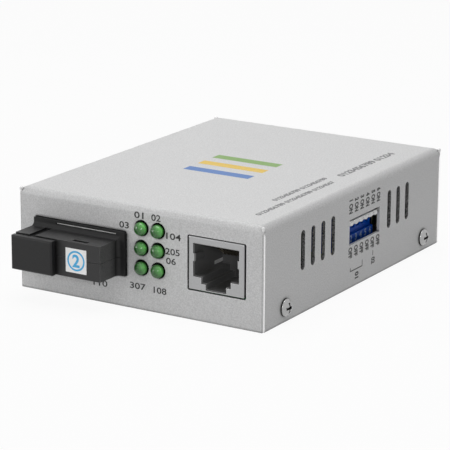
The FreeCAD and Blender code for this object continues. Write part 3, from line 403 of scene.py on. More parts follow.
def plated_shield(plating):
    """Tinned sheet: bright, with fine lines along the rolling direction, dull clouds and a painted
    highlight along its edges.
    """
    material = finish("tinned shield", plating, 0.3, metallic=1.0, grain=0.4, relief=0.003,
                      speckle=0.1, cloud=(0.2, 5), roughness_range=0.22, edge=(0.16, 0.85))
    tree = material.node_tree
    grain_bump = next(n for n in tree.nodes if n.type == "BUMP")
    stretch = node(tree, "Mapping", object_place(tree), Scale=(90.0, 90.0, 6000.0))
    lines = node(tree, "TexNoise", Vector=stretch.outputs["Vector"], Scale=1.0, Detail=1.0)
    rolled = node(tree, "Bump", Distance=0.002 * MM, Height=lines.outputs["Fac"])
    put(grain_bump.inputs["Normal"], rolled.outputs["Normal"])
    return material


def dull_towards_root(material, start, end, colour):
    """Paints shade over a housing's finish, fading in between two places in front of the panel,
    darkest near the collar.
    """
    tree = material.node_tree
    axes = node(tree, "SeparateXYZ", object_place(tree))
    fade = ranged(axes.outputs["Y"], interpolation_type="SMOOTHSTEP",
                  From_Min=CASE_LOW.y - start * MM, From_Max=CASE_LOW.y - end * MM)
    return overlay(material, fade, colour)


def lamp_resin(lamps):
    """Tinted resin with painted light on the side where the dome gathers the light, with faint
    rings.
    """
    material, tree, shader = new_material(
        "green lamp resin", Roughness=0.12, Specular_IOR_Level=0.5, Subsurface_Weight=lamps.haze,
        Subsurface_Radius=(0.3, 1.0, 0.3), Subsurface_Scale=0.6 * MM)
    painted_lit_side, radius, rim, sunk = [
        node(tree, "Attribute", attribute_name=name).outputs["Fac"]
        for name in ("painted_lit_side", "radius", "rim", "sunk")]
    rings = calculate(tree, "SINE", calculate(tree, "MULTIPLY", radius, 21.0))
    ringed = calculate(tree, "MULTIPLY_ADD", rings, 0.035, painted_lit_side)
    level = calculate(tree, "MULTIPLY_ADD", group(tree, handling, 1.4), 0.08, ringed,
                      use_clamp=True)
    shade = mix_colours(level, rgba(lamps.shade), rgba(lamps.glow))
    # a painted highlight on the dome's low rim, and painted shade where the resin sits in its hole
    for mask, colour in ((rim, lamps.rim), (sunk, (0.003, 0.008, 0.003))):
        shade = mix_colours(mask, shade, rgba(colour))
    put(shader.inputs["Base Color"], shade)
    return material


def solder_mask():
    """Green lacquer over a circuit board, with the copper tracks standing under it."""
    material = finish("solder mask", (0.014, 0.11, 0.045), 0.32, grain=0.5, speckle=0.1,
                      cloud=(0.15, 9), coat=0.3)
    tree = material.node_tree
    tracks = node(tree, "TexBrick", Vector=object_place(tree), Color1=(0, 0, 0, 1),
                  Color2=(0, 0, 0, 1), Mortar=(1, 1, 1, 1), Scale=1.0, Mortar_Size=0.16 * MM,
                  Brick_Width=5 * MM, Row_Height=1.1 * MM, Mortar_Smooth=0.1)
    return overlay(material, tracks.outputs["Fac"], (0.03, 0.2, 0.075))


def plain_metals(gilding):
    """Metals that differ only in colour, roughness, grain and clouds."""
    # slot, name, colour, roughness, grain, clouds
    kinds = (
        ("brass_pillar", "turned brass", (0.72, 0.52, 0.22), 0.28, 0.12, (0.2, 4)),
        ("spring_steel", "spring steel", (0.85, 0.85, 0.84), 0.3, 0.2, (0.2, 3)),
        ("barrel_metal", "turned barrel", (0.66, 0.65, 0.62), 0.22, 0.1, (0.15, 3)),
        ("tinned_pin", "tinned pins", (0.7, 0.7, 0.68), 0.3, 0.15, (0.25, 2)),
        ("gilded_contact", "gilded contacts", gilding, 0.22, 0.12, (0.2, 2)),
        ("inlet_metal", "inlet contact metal", (0.7, 0.69, 0.66), 0.24, 0.15, (0.2, 3)),
        ("crystal_metal", "crystal can", (0.66, 0.65, 0.62), 0.32, 0.3, (0.2, 3)),
    )
    return {slot: finish(name, colour, roughness, metallic=1.0, grain=grain, cloud=cloud)
            for slot, name, colour, roughness, grain, cloud in kinds}


def case_metals(case):
    """The cover's paint with its painted shade and highlights, the tray and the case screws."""
    return {
        "case_paint": case_paint(case),
        # painted shade on the cut walls, painted highlights on the flange edges and the corner
        # drops
        "cut_wall": finish("cut wall in painted shade", 0.2, 0.45, metallic=0.3, grain=0.4, relief=0.03,
                           speckle=1.9, specular=0.4),
        "painted_highlight_edge": finish("sheared edge with painted highlight", 0.86, 0.32, metallic=1.0, speckle=0.2,
                            cloud=(0.2, 2)),
        "pooled_paint_and_highlight": finish("pooled paint with painted highlight", 0.88, 0.16, grain=0.2, speckle=0.1, coat=0.6,
                               specular=1.0),
        "zinc_sheet": finish("zinc plated tray", case.zinc, 0.38, metallic=0.9, grain=0.9,
                             speckle=0.15, cloud=(0.3, 7), roughness_range=0.25),
        # painted highlight along the screw heads' edges and painted shade in their recesses
        "screw_steel": finish("bright screw", 0.4, 0.22, metallic=1.0, grain=0.25, relief=0.01,
                              cloud=(0.4, 1.2), roughness_range=0.2,
                              edge=(0.14, (0.85, 0.85, 0.84)), hollow_shade=(0.7, 0.03)),
    }


def port_plastics(port):
    """The transceiver's housing, finer and painted darker at the collar, coarser and painted
    lighter at its sides, and its cap.
    """
    # painted highlight along the edges and painted shade in the hollows and towards the collar
    housing = finish("black housing plastic", port.plastic, 0.42, grain=0.22, relief=0.012,
                     speckle=0.35, cloud=(0.2, 6), edge=(0.2, (0.13, 0.13, 0.131)),
                     hollow_shade=(1.2, 0.3), specular=0.3)
    side = finish("coarse housing side with painted light", (0.075, 0.075, 0.0755), 0.55, grain=0.26, relief=0.02,
                  speckle=0.8, cloud=(0.15, 5), edge=(0.2, (0.2, 0.2, 0.201)), specular=0.3)
    return {
        "transceiver_plastic": dull_towards_root(housing, 7, 1.5, (0.008, 0.008, 0.0082)),
        "lit_side_plastic": dull_towards_root(side, 5, 0.5, (0.012, 0.012, 0.0122)),
        # the collar is painted darker as shade
        "shaded_collar_plastic": finish("collar plastic in painted shade", (0.006, 0.006, 0.0062), 0.6, relief=0.006,
                                 speckle=0.4, cloud=(0.2, 14), edge=(0.12, (0.03, 0.03, 0.0303)),
                                 specular=0.3),
        "groove": finish("groove in painted shade", 0.004, 0.6, speckle=0.6, specular=0.1),
        "cap_plastic": finish("dust cap plastic", port.cap, 0.46, relief=0.007, speckle=0.3,
                              cloud=(0.15, 4), edge=(0.2, (0.026, 0.026, 0.0262)), specular=0.3),
        "label": finish("label film", (0.97, 0.97, 0.965), 0.3, relief=0.002, speckle=0.02,
                        cloud=(0.03, 14), coat=0.8, specular=1.0),
    }


def socket_finishes(socket):
    """The network socket's shield, what is seen in its mouth, and its insert, with painted
    highlights along edges and painted shade on the tongues.
    """
    return {
        "shield_plate": plated_shield(socket.plating),
        "window_plate": finish("dull shield window", 0.8, 0.45, metallic=0.2, speckle=0.3),
        "tongue": finish("spring tongue in shade", (0.12, 0.12, 0.121), 0.4, metallic=0.4,
                         grain=0.2, edge=(0.12, 0.3)),
        "socket_plastic": finish("black insert plastic", (0.13, 0.13, 0.131), 0.36, grain=0.14,
                                 speckle=0.3, cloud=(0.2, 5), edge=(0.18, 0.28)),
    }


def board_finishes(switch):
    """The board, the option switch and the other moulded parts that stand on the board."""
    return {
        "board_laminate": solder_mask(),
        # the switch body and the inlet get a painted highlight along their edges
        "switch_plastic": finish("blue switch plastic", switch.body, 0.3, grain=0.18, relief=0.003,
                                 speckle=0.2, cloud=(0.25, 3), edge=(0.2, (0.006, 0.15, 0.75)),
                                 specular=0.06),
        "lever_plastic": finish("white lever plastic", switch.lever, 0.38, grain=0.2, relief=0.003,
                                speckle=0.03, cloud=(0.02, 2), coat=0.5, specular=0.9, haze=0.5),
        "holder_plastic": finish("black holder plastic", 0.014, 0.45, grain=0.2, speckle=0.3),
        "inlet_plastic": finish("black inlet plastic", 0.015, 0.38, grain=0.18, speckle=0.3,
                                edge=(0.15, 0.04)),
        "chip_plastic": finish("moulded chip", (0.02, 0.02, 0.021), 0.6, grain=0.12, relief=0.006,
                               speckle=0.35),
        "capacitor_sleeve": finish("capacitor sleeve", (0.016, 0.02, 0.05), 0.3, speckle=0.2,
                                   coat=0.3),
        "resistor_body": finish("chip resistors", (0.03, 0.03, 0.035), 0.4, grain=0.2),
    }


@cache
def materials():
    """One material for every material slot of the record, and those of prints and of painted shade
    and highlights.
    """
    settings = bpy.context.scene.media_converter
    port, switch, style = settings.port, settings.switch, settings.print
    inks = {f"print_{hue}": (f"{hue} print", getattr(style, hue))
            for hue in ("blue", "yellow", "green", "grey")}
    inks |= {"print": ("black print", style.ink),
             "digits": ("pale switch print", switch.digit_ink),
             "label_ink": ("label print", port.label_ink)}
    return {
        **case_metals(settings.case),
        **port_plastics(port),
        **socket_finishes(settings.socket),
        **board_finishes(switch),
        **plain_metals(settings.socket.gilding),
        **{key: printed_ink(*ink) for key, ink in inks.items()},
        "lamp_lens": lamp_resin(settings.lamps),
    }


# ---------------- modelling helpers
def pick(*pieces):
    """Selects only these pieces, the first one active."""
    bpy.ops.object.select_all(action="DESELECT")
    for piece in pieces:
        piece.select_set(True)
    bpy.context.view_layer.objects.active = pieces[0]


def add(operator, **settings):
    """Adds a new object while nothing else is selected."""
    bpy.ops.object.select_all(action="DESELECT")
    operator(**settings)
    return bpy.context.object


@contextmanager
def editing(piece):
    """Edit mode on one piece, with its whole mesh selected."""
    pick(piece)
    bpy.ops.object.mode_set(mode="EDIT")
    bpy.ops.mesh.select_all(action="SELECT")
    yield
    bpy.ops.object.mode_set(mode="OBJECT")


def apply_modifier(piece, kind, **values):
    pick(piece)
    bpy.ops.object.modifier_add(type=kind)
    modifier = piece.modifiers[-1]
    for key, value in values.items():
        setattr(modifier, key, value)
    bpy.ops.object.modifier_apply(modifier=modifier.name)


def smooth_shading(piece, angle=CORNER_ANGLE):
    """Smooth curves, flat faces: corners past the angle stay sharp and large faces lead."""
    pick(piece)
    bpy.ops.object.shade_smooth_by_angle(angle=angle)
    apply_modifier(piece, "WEIGHTED_NORMAL", mode="FACE_AREA", weight=50, keep_sharp=True)


def give(piece, material, body="root"):
    """Puts a finished piece on its body with its finish."""
    piece.data.materials.clear()
    piece.data.materials.append(materials()[material])
    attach(piece, body)


def give_faces(piece, material, chosen):
    """Gives the faces that chosen picks another finish."""
    piece.data.materials.append(materials()[material])
    for face in piece.data.polygons:
        if chosen(face):
            face.material_index = len(piece.data.materials) - 1


def rounded_copy(source, edge, steps=2, prepare=None):
    """A merged copy of a CAD node with a true radius on its corners, which stands for it."""
    original = frame["nodes"][source]
    piece = bpy.data.objects.new(f"{source}_finished", original.data.copy())
    bpy.context.scene.collection.objects.link(piece)
    pick(piece)
    bpy.ops.mesh.customdata_custom_splitnormals_clear()
    with editing(piece):
        bpy.ops.mesh.remove_doubles(threshold=WELD)
        bpy.ops.mesh.mark_sharp(clear=True)
        bpy.ops.mesh.dissolve_limited(angle_limit=FLAT_ANGLE)
    if prepare:
        prepare(piece)
    if edge:
        apply_modifier(piece, "BEVEL", width=edge, segments=steps, limit_method="ANGLE",
                       angle_limit=CORNER_ANGLE, miter_outer="MITER_ARC", use_clamp_overlap=True,
                       loop_slide=True)
    smooth_shading(piece, CURVE_ANGLE)
    give(piece, SLOT_OF[source], original["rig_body"])
    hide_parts(source)
    return piece


def repaint(*sources):
    """Gives CAD nodes that keep their own shape the finish of their slot."""
    for source in sources:
        frame["nodes"][source].data.materials[0] = materials()[SLOT_OF[source]]


def seat(piece, place, reads, ups):
    """Turns a flat piece to read along one direction and stand along another, at its place."""
    turn = Matrix((reads, ups, reads.cross(ups))).transposed().to_4x4()
    piece.matrix_world = Matrix.Translation(place) @ turn @ piece.matrix_world
    pick(piece)
    bpy.ops.object.transform_apply(location=True, rotation=True, scale=True)
    return piece


def joined(pieces, name):
    pick(*pieces)
    if len(pieces) > 1:
        bpy.ops.object.join()
    pieces[0].name = name
    return pieces[0]


def figures(text, height, place, reads, ups, align=0.5, length=None, bold=0.013):
    """Printed figures. align is the share of their length that lies before the place."""
    piece = add(bpy.ops.object.text_add)
    piece.data.body = text
    piece.data.offset = bold
    piece.data.extrude = 1.0
    piece.data.resolution_u = 4
    sunk = 0.3              # of the two units of thickness, this much lies in the surface
    bpy.ops.object.convert(target="MESH")
    with editing(piece):
        bpy.ops.mesh.remove_doubles(threshold=1e-4)
        bpy.ops.mesh.normals_make_consistent(inside=False)
    low, high = Vector(piece.bound_box[0]), Vector(piece.bound_box[6])
    tall = height / (high.y - low.y)
    wide = length / (high.x - low.x) if length else tall
    scale = Matrix.Diagonal((wide, tall, INK / (high.z - low.z), 1.0))
    shift = Matrix.Translation((-low.x - align * (high.x - low.x), -low.y, -low.z - sunk))
    piece.matrix_world = scale @ shift
    return seat(piece, place, reads, ups)


def plate(width, height, corner, thickness, place, reads, ups):
    """A thin printed or cut plate with round corners, its middle at the place."""
    piece = add(bpy.ops.mesh.primitive_plane_add, size=1.0)
    with editing(piece):
        bpy.ops.transform.resize(value=(width, height, 1.0))
        if corner:
            bpy.ops.mesh.bevel(offset=corner, segments=6, affect="VERTICES")
    apply_modifier(piece, "SOLIDIFY", thickness=thickness, offset=OUTWARDS)
    return seat(piece, place, reads, ups)


def ring(outer, stroke, place, reads, ups):
    """A thin printed ring."""
    piece = add(bpy.ops.mesh.primitive_circle_add, vertices=72, radius=outer, fill_type="NGON")
    with editing(piece):
        bpy.ops.mesh.inset(thickness=stroke)
        bpy.ops.mesh.delete(type="FACE")
    apply_modifier(piece, "SOLIDIFY", thickness=INK, offset=OUTWARDS)
    return seat(piece, place, reads, ups)


def rule(start, end, width, reads, ups):
    """A printed rule between two points of a flat surface."""
    along = end - start
    size = (along.length + width, width)
    if abs(along.dot(reads)) <= abs(along.dot(ups)):
        size = reversed(size)
    return plate(*size, 0.0, INK, (start + end) / 2, reads, ups)


def middle(source):
    low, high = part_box(source)
    return (low + high) / 2


def from_side(place):
    """How far a place lies inside the nearer side of the cover."""
    return min(place.x - CASE_LOW.x, CASE_HIGH.x - place.x)


# ---------------- operators
class DressOperator(bpy.types.Operator):
    """Shared options of the operators that dress a piece"""
    bl_idname = "converter.dress"
    bl_label = "Dress a piece"
    bl_options = {"REGISTER", "UNDO"}


class CONVERTER_OT_case(DressOperator):
    """Paint the folded cover, plate the tray and brighten the case screws"""
    bl_idname = "converter.case"
    bl_label = "Case"

    def is_cut_wall(self, face):
        """The walls of the punched holes are painted dark as shade, apart from the switch's
        window.
        """
        place, normal, wall = face.center, face.normal, self.case.sheet - NEAR
        in_side = NEAR < from_side(place) < wall and abs(normal.x) < 0.2
        in_front = (NEAR < place.y - CASE_LOW.y < wall and abs(normal.y) < 0.2
                    and from_side(place) > RIM)
        inner = CASE_LOW.z + RIM < place.z < CASE_HIGH.z - RIM
        beside_switch = place.x > 0 and WINDOW_FRONT < place.y < WINDOW_BACK
        return inner and (in_front or in_side and not beside_switch)

    def is_flange_edge(self, face):
        """The upright sheared edges of the front and rear flanges get a painted highlight."""
        place = face.center
        at_end = min(place.y - CASE_LOW.y, CASE_HIGH.y - place.y) < self.case.sheet
        return (at_end and from_side(place) < 2 * SAME and abs(face.normal.x) > 0.9
                and place.z < CASE_HIGH.z - self.case.fold)

    def close_joints(self, cover):
        """Pulls each side flange's free edge near the front and rear flange, as paint does."""
        sheet, joint = self.case.sheet, self.case.joint
        for vertex in cover.data.vertices:
            for end, outer in ((-1, CASE_LOW.y), (1, CASE_HIGH.y)):
                at_joint = abs(outer - end * (sheet + joint) - vertex.co.y) < SAME
                if at_joint and from_side(vertex.co) < sheet + SAME:
                    vertex.co.y += end * joint * self.case.closed

    def drop(self, place, size):
        """A drop of paint, drawn out downwards."""
        piece = add(bpy.ops.mesh.primitive_uv_sphere_add, segments=20, ring_count=12, radius=1.0)
        below = [vertex.co.z < 0.1 for vertex in piece.data.vertices]
        with editing(piece):
            bpy.ops.transform.resize(value=size)
            bpy.ops.mesh.select_all(action="DESELECT")
        for vertex, is_below in zip(piece.data.vertices, below):
            vertex.select = is_below
        bpy.ops.object.mode_set(mode="EDIT")
        bpy.ops.transform.resize(value=(1.0, 0.8, 1.5), center_override=(0, 0, 0))
        bpy.ops.object.mode_set(mode="OBJECT")
        smooth_shading(piece)
        return seat(piece, place, RIGHT, BACK)

    def paint_beads(self):
        """Paint closes the relief hole of each corner joint and pools on the fold above it, where
        its paler colour is a painted highlight.
        """
        case = self.case
        closing, pooled = Vector((0.09, 0.47, 0.46)) * MM, Vector((0.48, 0.58, 0.55)) * MM
        drops = {"case_paint": [], "pooled_paint_and_highlight": []}
        for side, x in ((1, CASE_HIGH.x), (-1, CASE_LOW.x)):
            for end, y in ((1, CASE_HIGH.y), (-1, CASE_LOW.y)):
                hole = Vector((x, y - end * (case.sheet + case.joint / 2),
                               CASE_HIGH.z - case.fold))
                pool = Vector((x - side * case.fold * 0.16, y - end * case.sheet * 0.45,
                               CASE_HIGH.z - case.fold * 0.34))
                drops["case_paint"].append(self.drop(hole, closing))
                drops["pooled_paint_and_highlight"].append(self.drop(pool, pooled))
        for finish_name, pieces in drops.items():
            give(joined(pieces, f"corner_{finish_name}"), finish_name)

    def trim_heads(self, screws):
        """Draws each head in a little about its own axis, outside the cover only."""
        low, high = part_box("case_screws")
        reach = (high.z - low.z) / 2
        for vertex in screws.data.vertices:
            if abs(vertex.co.x) >= CASE_HIGH.x - SAME:
                near = vertex.co.y < (low.y + high.y) / 2
                axis = Vector((vertex.co.x, low.y + reach if near else high.y - reach,
                               low.z + reach))
                vertex.co = axis + (vertex.co - axis) * self.case.head_share

    def execute(self, context):
        self.case = context.scene.media_converter.case
        cover = rounded_copy("top_cover", self.case.edge, prepare=self.close_joints)
        give_faces(cover, "cut_wall", self.is_cut_wall)
        give_faces(cover, "painted_highlight_edge", self.is_flange_edge)
        self.paint_beads()
        rounded_copy("base_tray", self.case.edge)
        self.trim_heads(rounded_copy("case_screws", 0.08 * MM))
        return {"FINISHED"}


class CONVERTER_OT_transceiver(DressOperator):
    """Give the optical transceiver its moulded edges and black plastic"""
    bl_idname = "converter.transceiver"
    bl_label = "Transceiver"

    def shade_finger_groove(self, upper):
        """The floor of the shallow groove that a finger pushes the cap out by is painted near
        black as shade.
        """
        front_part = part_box("transceiver_upper_housing")[0].y + 6 * MM
        nose_top = max(face.center.z for face in upper.data.polygons
                       if face.normal.z > 0.99 and face.center.y < front_part)
        shallow, deep = 0.3 * MM, 0.8 * MM
        give_faces(upper, "groove", lambda face: (
            face.normal.z > 0.9 and shallow < nose_top - face.center.z < deep))

    def texture_zones(self, half, nose_width):
        """The collar and the nose's root are eroded finer and painted darker as shade, and the
        nose's sides coarser and painted lighter as light.
        """
        root = CASE_LOW.y - 2.1 * MM
        nose_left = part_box("transceiver_lower_housing")[0].x
        give_faces(half, "shaded_collar_plastic", lambda face: face.center.y > root)
        give_faces(half, "lit_side_plastic", lambda face: (
            face.center.y <= root and abs(face.normal.x) > 0.9
            and min(abs(face.center.x - nose_left),
                    abs(face.center.x - nose_left - nose_width)) < NEAR))

    def execute(self, context):
        port = context.scene.media_converter.port
        upper = rounded_copy("transceiver_upper_housing", port.edge, 3)
        self.shade_finger_groove(upper)
        lower = rounded_copy("transceiver_lower_housing", port.edge, 3)
        for half in (upper, lower):
            self.texture_zones(half, port.nose)
        rounded_copy("earthing_clip", 0.04 * MM)
        repaint("optical_barrel", "transceiver_pins")
        return {"FINISHED"}


class CONVERTER_OT_dust_cap(DressOperator):
    """Give the dust cap its soft moulded edges"""
    bl_idname = "converter.dust_cap"
    bl_label = "Dust cap"

    def execute(self, context):
        rounded_copy("port_dust_cap", context.scene.media_converter.port.cap_edge, 3)
        return {"FINISHED"}


class CONVERTER_OT_network_socket(DressOperator):
    """Plate the socket's shield and gild its contacts"""
    bl_idname = "converter.network_socket"
    bl_label = "Network socket"

    def shade_tongues(self, shield, reach):
        """The two spring tongues inside the mouth are painted dark as shade, apart from their
        edges.
        """
        centre_x = middle("socket_insert").x
        foot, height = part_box("main_board")[1].z + 6.8 * MM, 2.4 * MM
        corners = shield.data.vertices
        give_faces(shield, "tongue", lambda face: all(
            abs(corners[index].co.x - centre_x) < reach
            and 0 < corners[index].co.z - foot < height for index in face.vertices))

    def execute(self, context):
        socket = context.scene.media_converter.socket
        shield = rounded_copy("socket_shield", socket.edge)
        self.shade_tongues(shield, socket.cavity / 2 + 0.19 * MM)
        rounded_copy("socket_insert", socket.insert_edge)
        repaint("socket_contacts")

        length, height, corner, thickness = 3.9 * MM, 0.95 * MM, 0.1 * MM, 0.04 * MM
        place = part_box("socket_insert")[0] + Vector((0, 11.1, 4.3)) * MM
        place.x = middle("socket_insert").x - socket.cavity / 2
        window = plate(length, height, corner, thickness, place, BACK, UP)
        window.name = "shield_window"
        give(window, "window_plate")
        return {"FINISHED"}


class CONVERTER_OT_lamps(DressOperator):
    """Turn the six indicator lamps into tinted resin domes"""
    bl_idname = "converter.lamps"
    bl_label = "Indicator lamps"

    def round_dome(self, piece, centre, lamps):
        """Draws the cap out into half a ball, a little to the right in its hole."""
        for vertex in piece.data.vertices:
            if vertex.co.y < CASE_LOW.y + NEAR:
                away = math.hypot(vertex.co.x - centre.x, vertex.co.z - centre.z) / lamps.dome
                depth = lamps.dome * math.sqrt(max(0.0, 1 - away ** 2))
                vertex.co.x += lamps.shift
                vertex.co.y = CASE_LOW.y - lamps.proud - depth

    def mark_resin(self, piece, centre, reach):
        """Stores how far each point is from the lamp's axis, and where light and shade are
        painted: the lit side, the bright low rim and the dark foot in the hole.
        """
        marks = {label: [] for label in ("radius", "painted_lit_side", "rim", "sunk")}
        for vertex in piece.data.vertices:
            across = (vertex.co.x - centre.x) / reach
            above = (vertex.co.z - centre.z) / reach
            away = math.hypot(across, above)
            lit = max(0.0, across * 0.75 + above * 0.5 + 0.1)
            low_side = max(0.0, -across * 0.8 - above * 0.6)
            behind = vertex.co.y - CASE_LOW.y + 0.1 * MM
            marks["radius"].append(away)
            marks["painted_lit_side"].append(min(1.0, 0.9 * lit ** 1.8))
            marks["rim"].append(low_side * min(1.0, max(0.0, (away - 0.84) / 0.1)))
            marks["sunk"].append(min(1.0, max(0.0, behind / (0.2 * MM))))
        for label, values in marks.items():
            stored = piece.data.attributes.new(label, "FLOAT", "POINT")
            stored.data.foreach_set("value", values)

    def execute(self, context):
        lamps = context.scene.media_converter.lamps
        for source in LAMPS:
            piece = rounded_copy(source, 0.0)
            apply_modifier(piece, "SUBSURF", subdivision_type="SIMPLE", levels=lamps.steps,
                           render_levels=lamps.steps)
            self.round_dome(piece, middle(source), lamps)
            pick(piece)
            bpy.ops.mesh.customdata_custom_splitnormals_clear()
            smooth_shading(piece, DOME_ANGLE)
            self.mark_resin(piece, middle(source), lamps.dome)
        repaint("lamp_holder", "lamp_leads")
        return {"FINISHED"}


class CONVERTER_OT_option_switch(DressOperator):
    """Finish the blue option switch, its white levers and its numbers"""
    bl_idname = "converter.option_switch"
    bl_label = "Option switch"

    def execute(self, context):
        switch = context.scene.media_converter.switch
        for source in ("switch_body", "switch_lid"):
            rounded_copy(source, switch.edge)
        for source in LEVERS:
            rounded_copy(source, switch.lever_edge, 4)
        repaint("switch_pins")

        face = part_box("switch_body")[1].x
        foot = CASE_LOW.z + switch.digit_foot
        digits = [figures(str(number), switch.digit, Vector((face, middle(source).y, foot)),
                          BACK, UP) for number, source in enumerate(LEVERS, start=1)]
        give(joined(digits, "switch_numbers"), "digits")
        return {"FINISHED"}


class CONVERTER_OT_power_inlet(DressOperator):
    """Finish the power inlet at the rear"""
    bl_idname = "converter.power_inlet"
    bl_label = "Power inlet"

    def execute(self, context):
        rounded_copy("power_inlet_body", 0.2 * MM, 3)
        repaint("power_inlet_pin", "power_inlet_terminals")
        return {"FINISHED"}


class CONVERTER_OT_board(DressOperator):
    """Finish the circuit board and the parts that stand on it"""
    bl_idname = "converter.board"
    bl_label = "Circuit board"

    def execute(self, context):
        for source in ("controller_chip", "line_transformer", "crystal_can", "voltage_regulator",
                       "jumper_header"):
            rounded_copy(source, 0.12 * MM)
        repaint("main_board", "board_standoffs", "board_screws", "controller_leads",
                "transformer_leads", "electrolytic_capacitors", "capacitor_leads",
                "regulator_tabs", "chip_resistors", "jumper_pins")
        return {"FINISHED"}


class CONVERTER_OT_panel_numbers(DressOperator):
    """Print plain numbers round the lamps on the front panel"""
    bl_idname = "converter.panel_numbers"
    bl_label = "Panel numbers"

    def execute(self, context):
        style = context.scene.media_converter.print
        first, second = middle(LAMPS[0]), middle(LAMPS[1])
        row = (first.z - middle(LAMPS[2]).z) / MM
        # text, the lamp it is measured from, then right, up and its length in mm
        marks = (
            ("01", first, -0.65, 2.45, 2.7),
            ("02", second, -0.5, 2.45, 2.7),
            ("03", first, -5.0, -0.62, 2.8),
            ("104", second, 4.55, -1.5, 4.2),
            ("205", second, 4.25, -row - 0.36, 4.1),
            ("06", second, 3.8, -row - 2.75, 2.8),
            ("307", first, -1.1, -2 * row - 5.6, 4.6),
            ("108", second, 0.6, -2 * row - 5.75, 3.7),
            ("110", first, -12.2, -2 * row - 6.6, 4.2),
        )
        printed = [figures(text, style.letter,
                           Vector((lamp.x + right * MM, CASE_LOW.y, lamp.z + up * MM)), RIGHT, UP,
                           length=length * MM) for text, lamp, right, up, length in marks]
        give(joined(printed, "panel_numbers"), "print")
        return {"FINISHED"}


class CONVERTER_OT_side_legend(DressOperator):
    """Print the ON and OFF legend above and below the option switch"""
    bl_idname = "converter.side_legend"
    bl_label = "Side legend"

    def execute(self, context):
        style = context.scene.media_converter.print
        centre = (middle(LEVERS[0]).y + middle(LEVERS[-1]).y) / 2

        def spot(y, z):
            """A place on the side, in mm from the window's middle and from the underside."""
            return Vector((CASE_HIGH.x, centre + y * MM, CASE_LOW.z + z * MM))

        def word(text, y, z, align, share):
            """A word that reads downwards. Its length is a share of the plain word's."""
            return figures(text, style.side_letter, spot(y, z), DOWN, BACK, align,
                           style.side_word * share, style.weight)

        column, half_letter = 2.94, style.side_letter / MM / 2
        printed = []
        for index in range(len(LEVERS)):
            y = (index - 2.5) * column - half_letter - 0.25
            printed.append(word(f"{index + 1} ON", y, 19.5, 1.0, 1.25))
            printed.append(word("OFF", y, 10.7, 0.0, 1.0))
        bracket = (spot(-1.1, 5.8), spot(-1.1, 4.3), spot(-7.4, 4.3), spot(-7.4, 5.05))
        rules = (*zip(bracket, bracket[1:]), (spot(4.6, 6.9), spot(4.6, 5.8)))
        printed += [rule(start, end, style.stroke, BACK, UP) for start, end in rules]
        for number, y, z in (("01", -4.9, 3.5), ("02", 3.8, 5.2)):
            printed.append(word(number, y, z, 0.0, 0.62))
        give(joined(printed, "side_legend"), "print")
        return {"FINISHED"}


class CONVERTER_OT_top_print(DressOperator):
    """Print three plain coloured bars and rows of figures on the top"""
    bl_idname = "converter.top_print"
    bl_label = "Top print"

    def execute(self, context):
        style = context.scene.media_converter.print
        for order, colour in enumerate(("blue", "yellow", "green")):
            place = Vector((-0.6 * MM, (order - 1) * 2.1 * style.band - 1.2 * MM, CASE_HIGH.z))
            bar = plate(style.bar, style.band, 0.0, INK, place, RIGHT, BACK)
            bar.name = f"top_bar_{colour}"
            give(bar, f"print_{colour}")
        digits = "0123456789"
        # text, height, then its length, its inset from the right side and its start in mm
        rows = (
            (f"{digits} {digits}", style.small, 26.3, 9.3, -24.8),
            (f"{digits} {digits} {digits[:8]}", style.small, 37.7, 5.9, -38.4),
            (f"{digits} {digits[:5]}", style.large, 29.0, 7.0, 5.0),
        )
        printed = [figures(text, height,
                           Vector((CASE_HIGH.x - inset * MM, start * MM, CASE_HIGH.z)), BACK,
                           LEFT, 0.0, length * MM, style.weight)
                   for text, height, length, inset, start in rows]
        give(joined(printed, "top_figures"), "print_grey")
        return {"FINISHED"}


class CONVERTER_OT_port_label(DressOperator):
    """Stick the small square label on the transceiver's nose"""
    bl_idname = "converter.port_label"
    bl_label = "Port label"

    def execute(self, context):
        port = context.scene.media_converter.port
        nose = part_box("transceiver_lower_housing")[0]
        film = 0.06 * MM
        place = Vector((nose.x + port.nose - port.label_inset - port.label / 2, nose.y,
                        middle("port_dust_cap").z))
        label = plate(port.label, port.label, 0.1 * MM, film, place, RIGHT, UP)
        label.name = "port_label"
        give(label, "label")
        front = place + FRONT * film * 0.8
        printed = [ring(port.ring / 2, port.ring_stroke, front, RIGHT, UP),
                   figures("2", port.numeral, front + DOWN * port.numeral / 2, RIGHT, UP,
                           bold=0.03)]
        give(joined(printed, "port_label_print"), "label_ink")
        return {"FINISHED"}


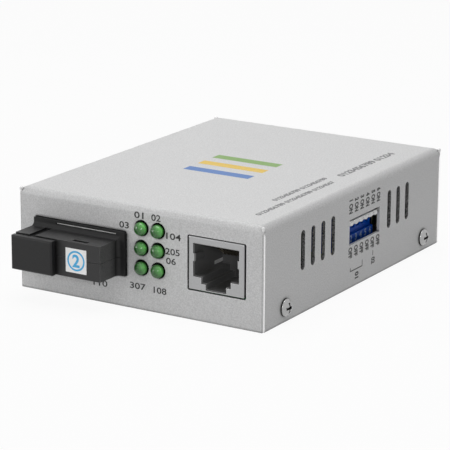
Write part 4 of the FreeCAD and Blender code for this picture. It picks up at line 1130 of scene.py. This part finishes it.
class CONVERTER_OT_stage(DressOperator):
    """Lay the white floor, hang the soft lamps and set the camera"""
    bl_idname = "converter.stage"
    bl_label = "Stage"

    def two_faced(self, tree, share, unseen, seen, output):
        """One shader lights the object, the other is what the camera, gloss and glass see."""
        path = node(tree, "LightPath")
        camera, gloss, glass = [path.outputs[f"Is {kind} Ray"]
                                for kind in ("Camera", "Glossy", "Transmission")]
        direct = calculate(tree, "MAXIMUM", calculate(tree, "MAXIMUM", camera, gloss), glass)
        mixed = node(tree, "MixShader", calculate(tree, "MULTIPLY", direct, share),
                     unseen.outputs[0], seen.outputs[0])
        node(tree, output, Surface=mixed.outputs[0])

    def empty_tree(self, owner):
        owner.use_nodes = True
        owner.node_tree.nodes.clear()
        return owner.node_tree

    def lay_floor(self):
        floor = add(bpy.ops.mesh.primitive_plane_add, size=6.0)
        floor.name = "floor"
        material = bpy.data.materials.new("white floor")
        tree = self.empty_tree(material)
        self.two_faced(tree, 0.93, node(tree, "BsdfDiffuse", Color=rgba(0.86)),
                       node(tree, "Emission"), "OutputMaterial")
        floor.data.materials.append(material)

    def light_world(self, scene, fill):
        scene.world = bpy.data.worlds.new("plain studio")
        tree = self.empty_tree(scene.world)
        soft, white = [node(tree, "Background", Color=rgba(1.0), Strength=level)
                       for level in (fill, 1.0)]
        self.two_faced(tree, 1.0, soft, white, "OutputWorld")

    def hang_lamp(self, name, place, size, power):
        lamp = add(bpy.ops.object.light_add, type="AREA", location=place)
        lamp.name = name
        lamp.data.shape = "DISK"
        lamp.data.size = size
        lamp.data.energy = power
        away = Vector(place) - (CAD_BOX[0] + CAD_BOX[1]) / 2
        lamp.rotation_euler = away.to_track_quat("Z", "Y").to_euler()

    def execute(self, context):
        scene = context.scene
        stage = scene.media_converter.stage
        self.lay_floor()
        self.light_world(scene, stage.fill)
        for name, place, size, power in (
                ("overhead lamp", (0.0, 0.0, 0.7), 0.6, stage.top),
                ("front lamp", (0.0, -0.6, 0.3), 0.3, stage.front),
                ("left lamp", (-0.5, -0.4, 0.1), 0.3, stage.left),
                ("rear lamp", (-0.3, 0.4, 0.5), 0.4, stage.rear),
                ("glint lamp", (0.31, -0.49, 0.2), 0.07, stage.glint)):
            self.hang_lamp(name, place, size, power)
        camera = add(bpy.ops.object.camera_add, location=stage.camera_place)
        camera.rotation_euler = (stage.camera_tilt, stage.camera_roll, stage.camera_heading)
        camera.data.lens = stage.lens
        camera.data.sensor_width = 36.0
        camera.data.clip_start = 0.01
        scene.camera = camera
        scene.view_settings.view_transform = "Standard"
        return {"FINISHED"}


DRESSING = DressOperator.__subclasses__()      # in the order of the classes above


class CONVERTER_PT_finishes(bpy.types.Panel):
    """Lists the converter's finishing steps"""
    bl_idname = "CONVERTER_PT_finishes"
    bl_label = "Converter finishes"
    bl_space_type = "VIEW_3D"
    bl_region_type = "UI"
    bl_category = "Converter"

    def draw(self, context):
        for operator in DRESSING:
            self.layout.operator(operator.bl_idname)


CLASSES = (CaseSettings, PortSettings, SocketSettings, LampSettings, SwitchSettings,
           PrintSettings, StageSettings, ConverterSettings, *DRESSING, CONVERTER_PT_finishes)


def register():
    for cls in CLASSES:
        bpy.utils.register_class(cls)
    bpy.types.Scene.media_converter = PointerProperty(
        type=ConverterSettings, name="Media converter", description="Sizes and colours")


def unregister():
    del bpy.types.Scene.media_converter
    for cls in reversed(CLASSES):
        bpy.utils.unregister_class(cls)


def main():
    register()
    for operator in DRESSING:
        family, step = operator.bl_idname.split(".")
        getattr(getattr(bpy.ops, family), step)()


if __name__ == "__main__":
    main()
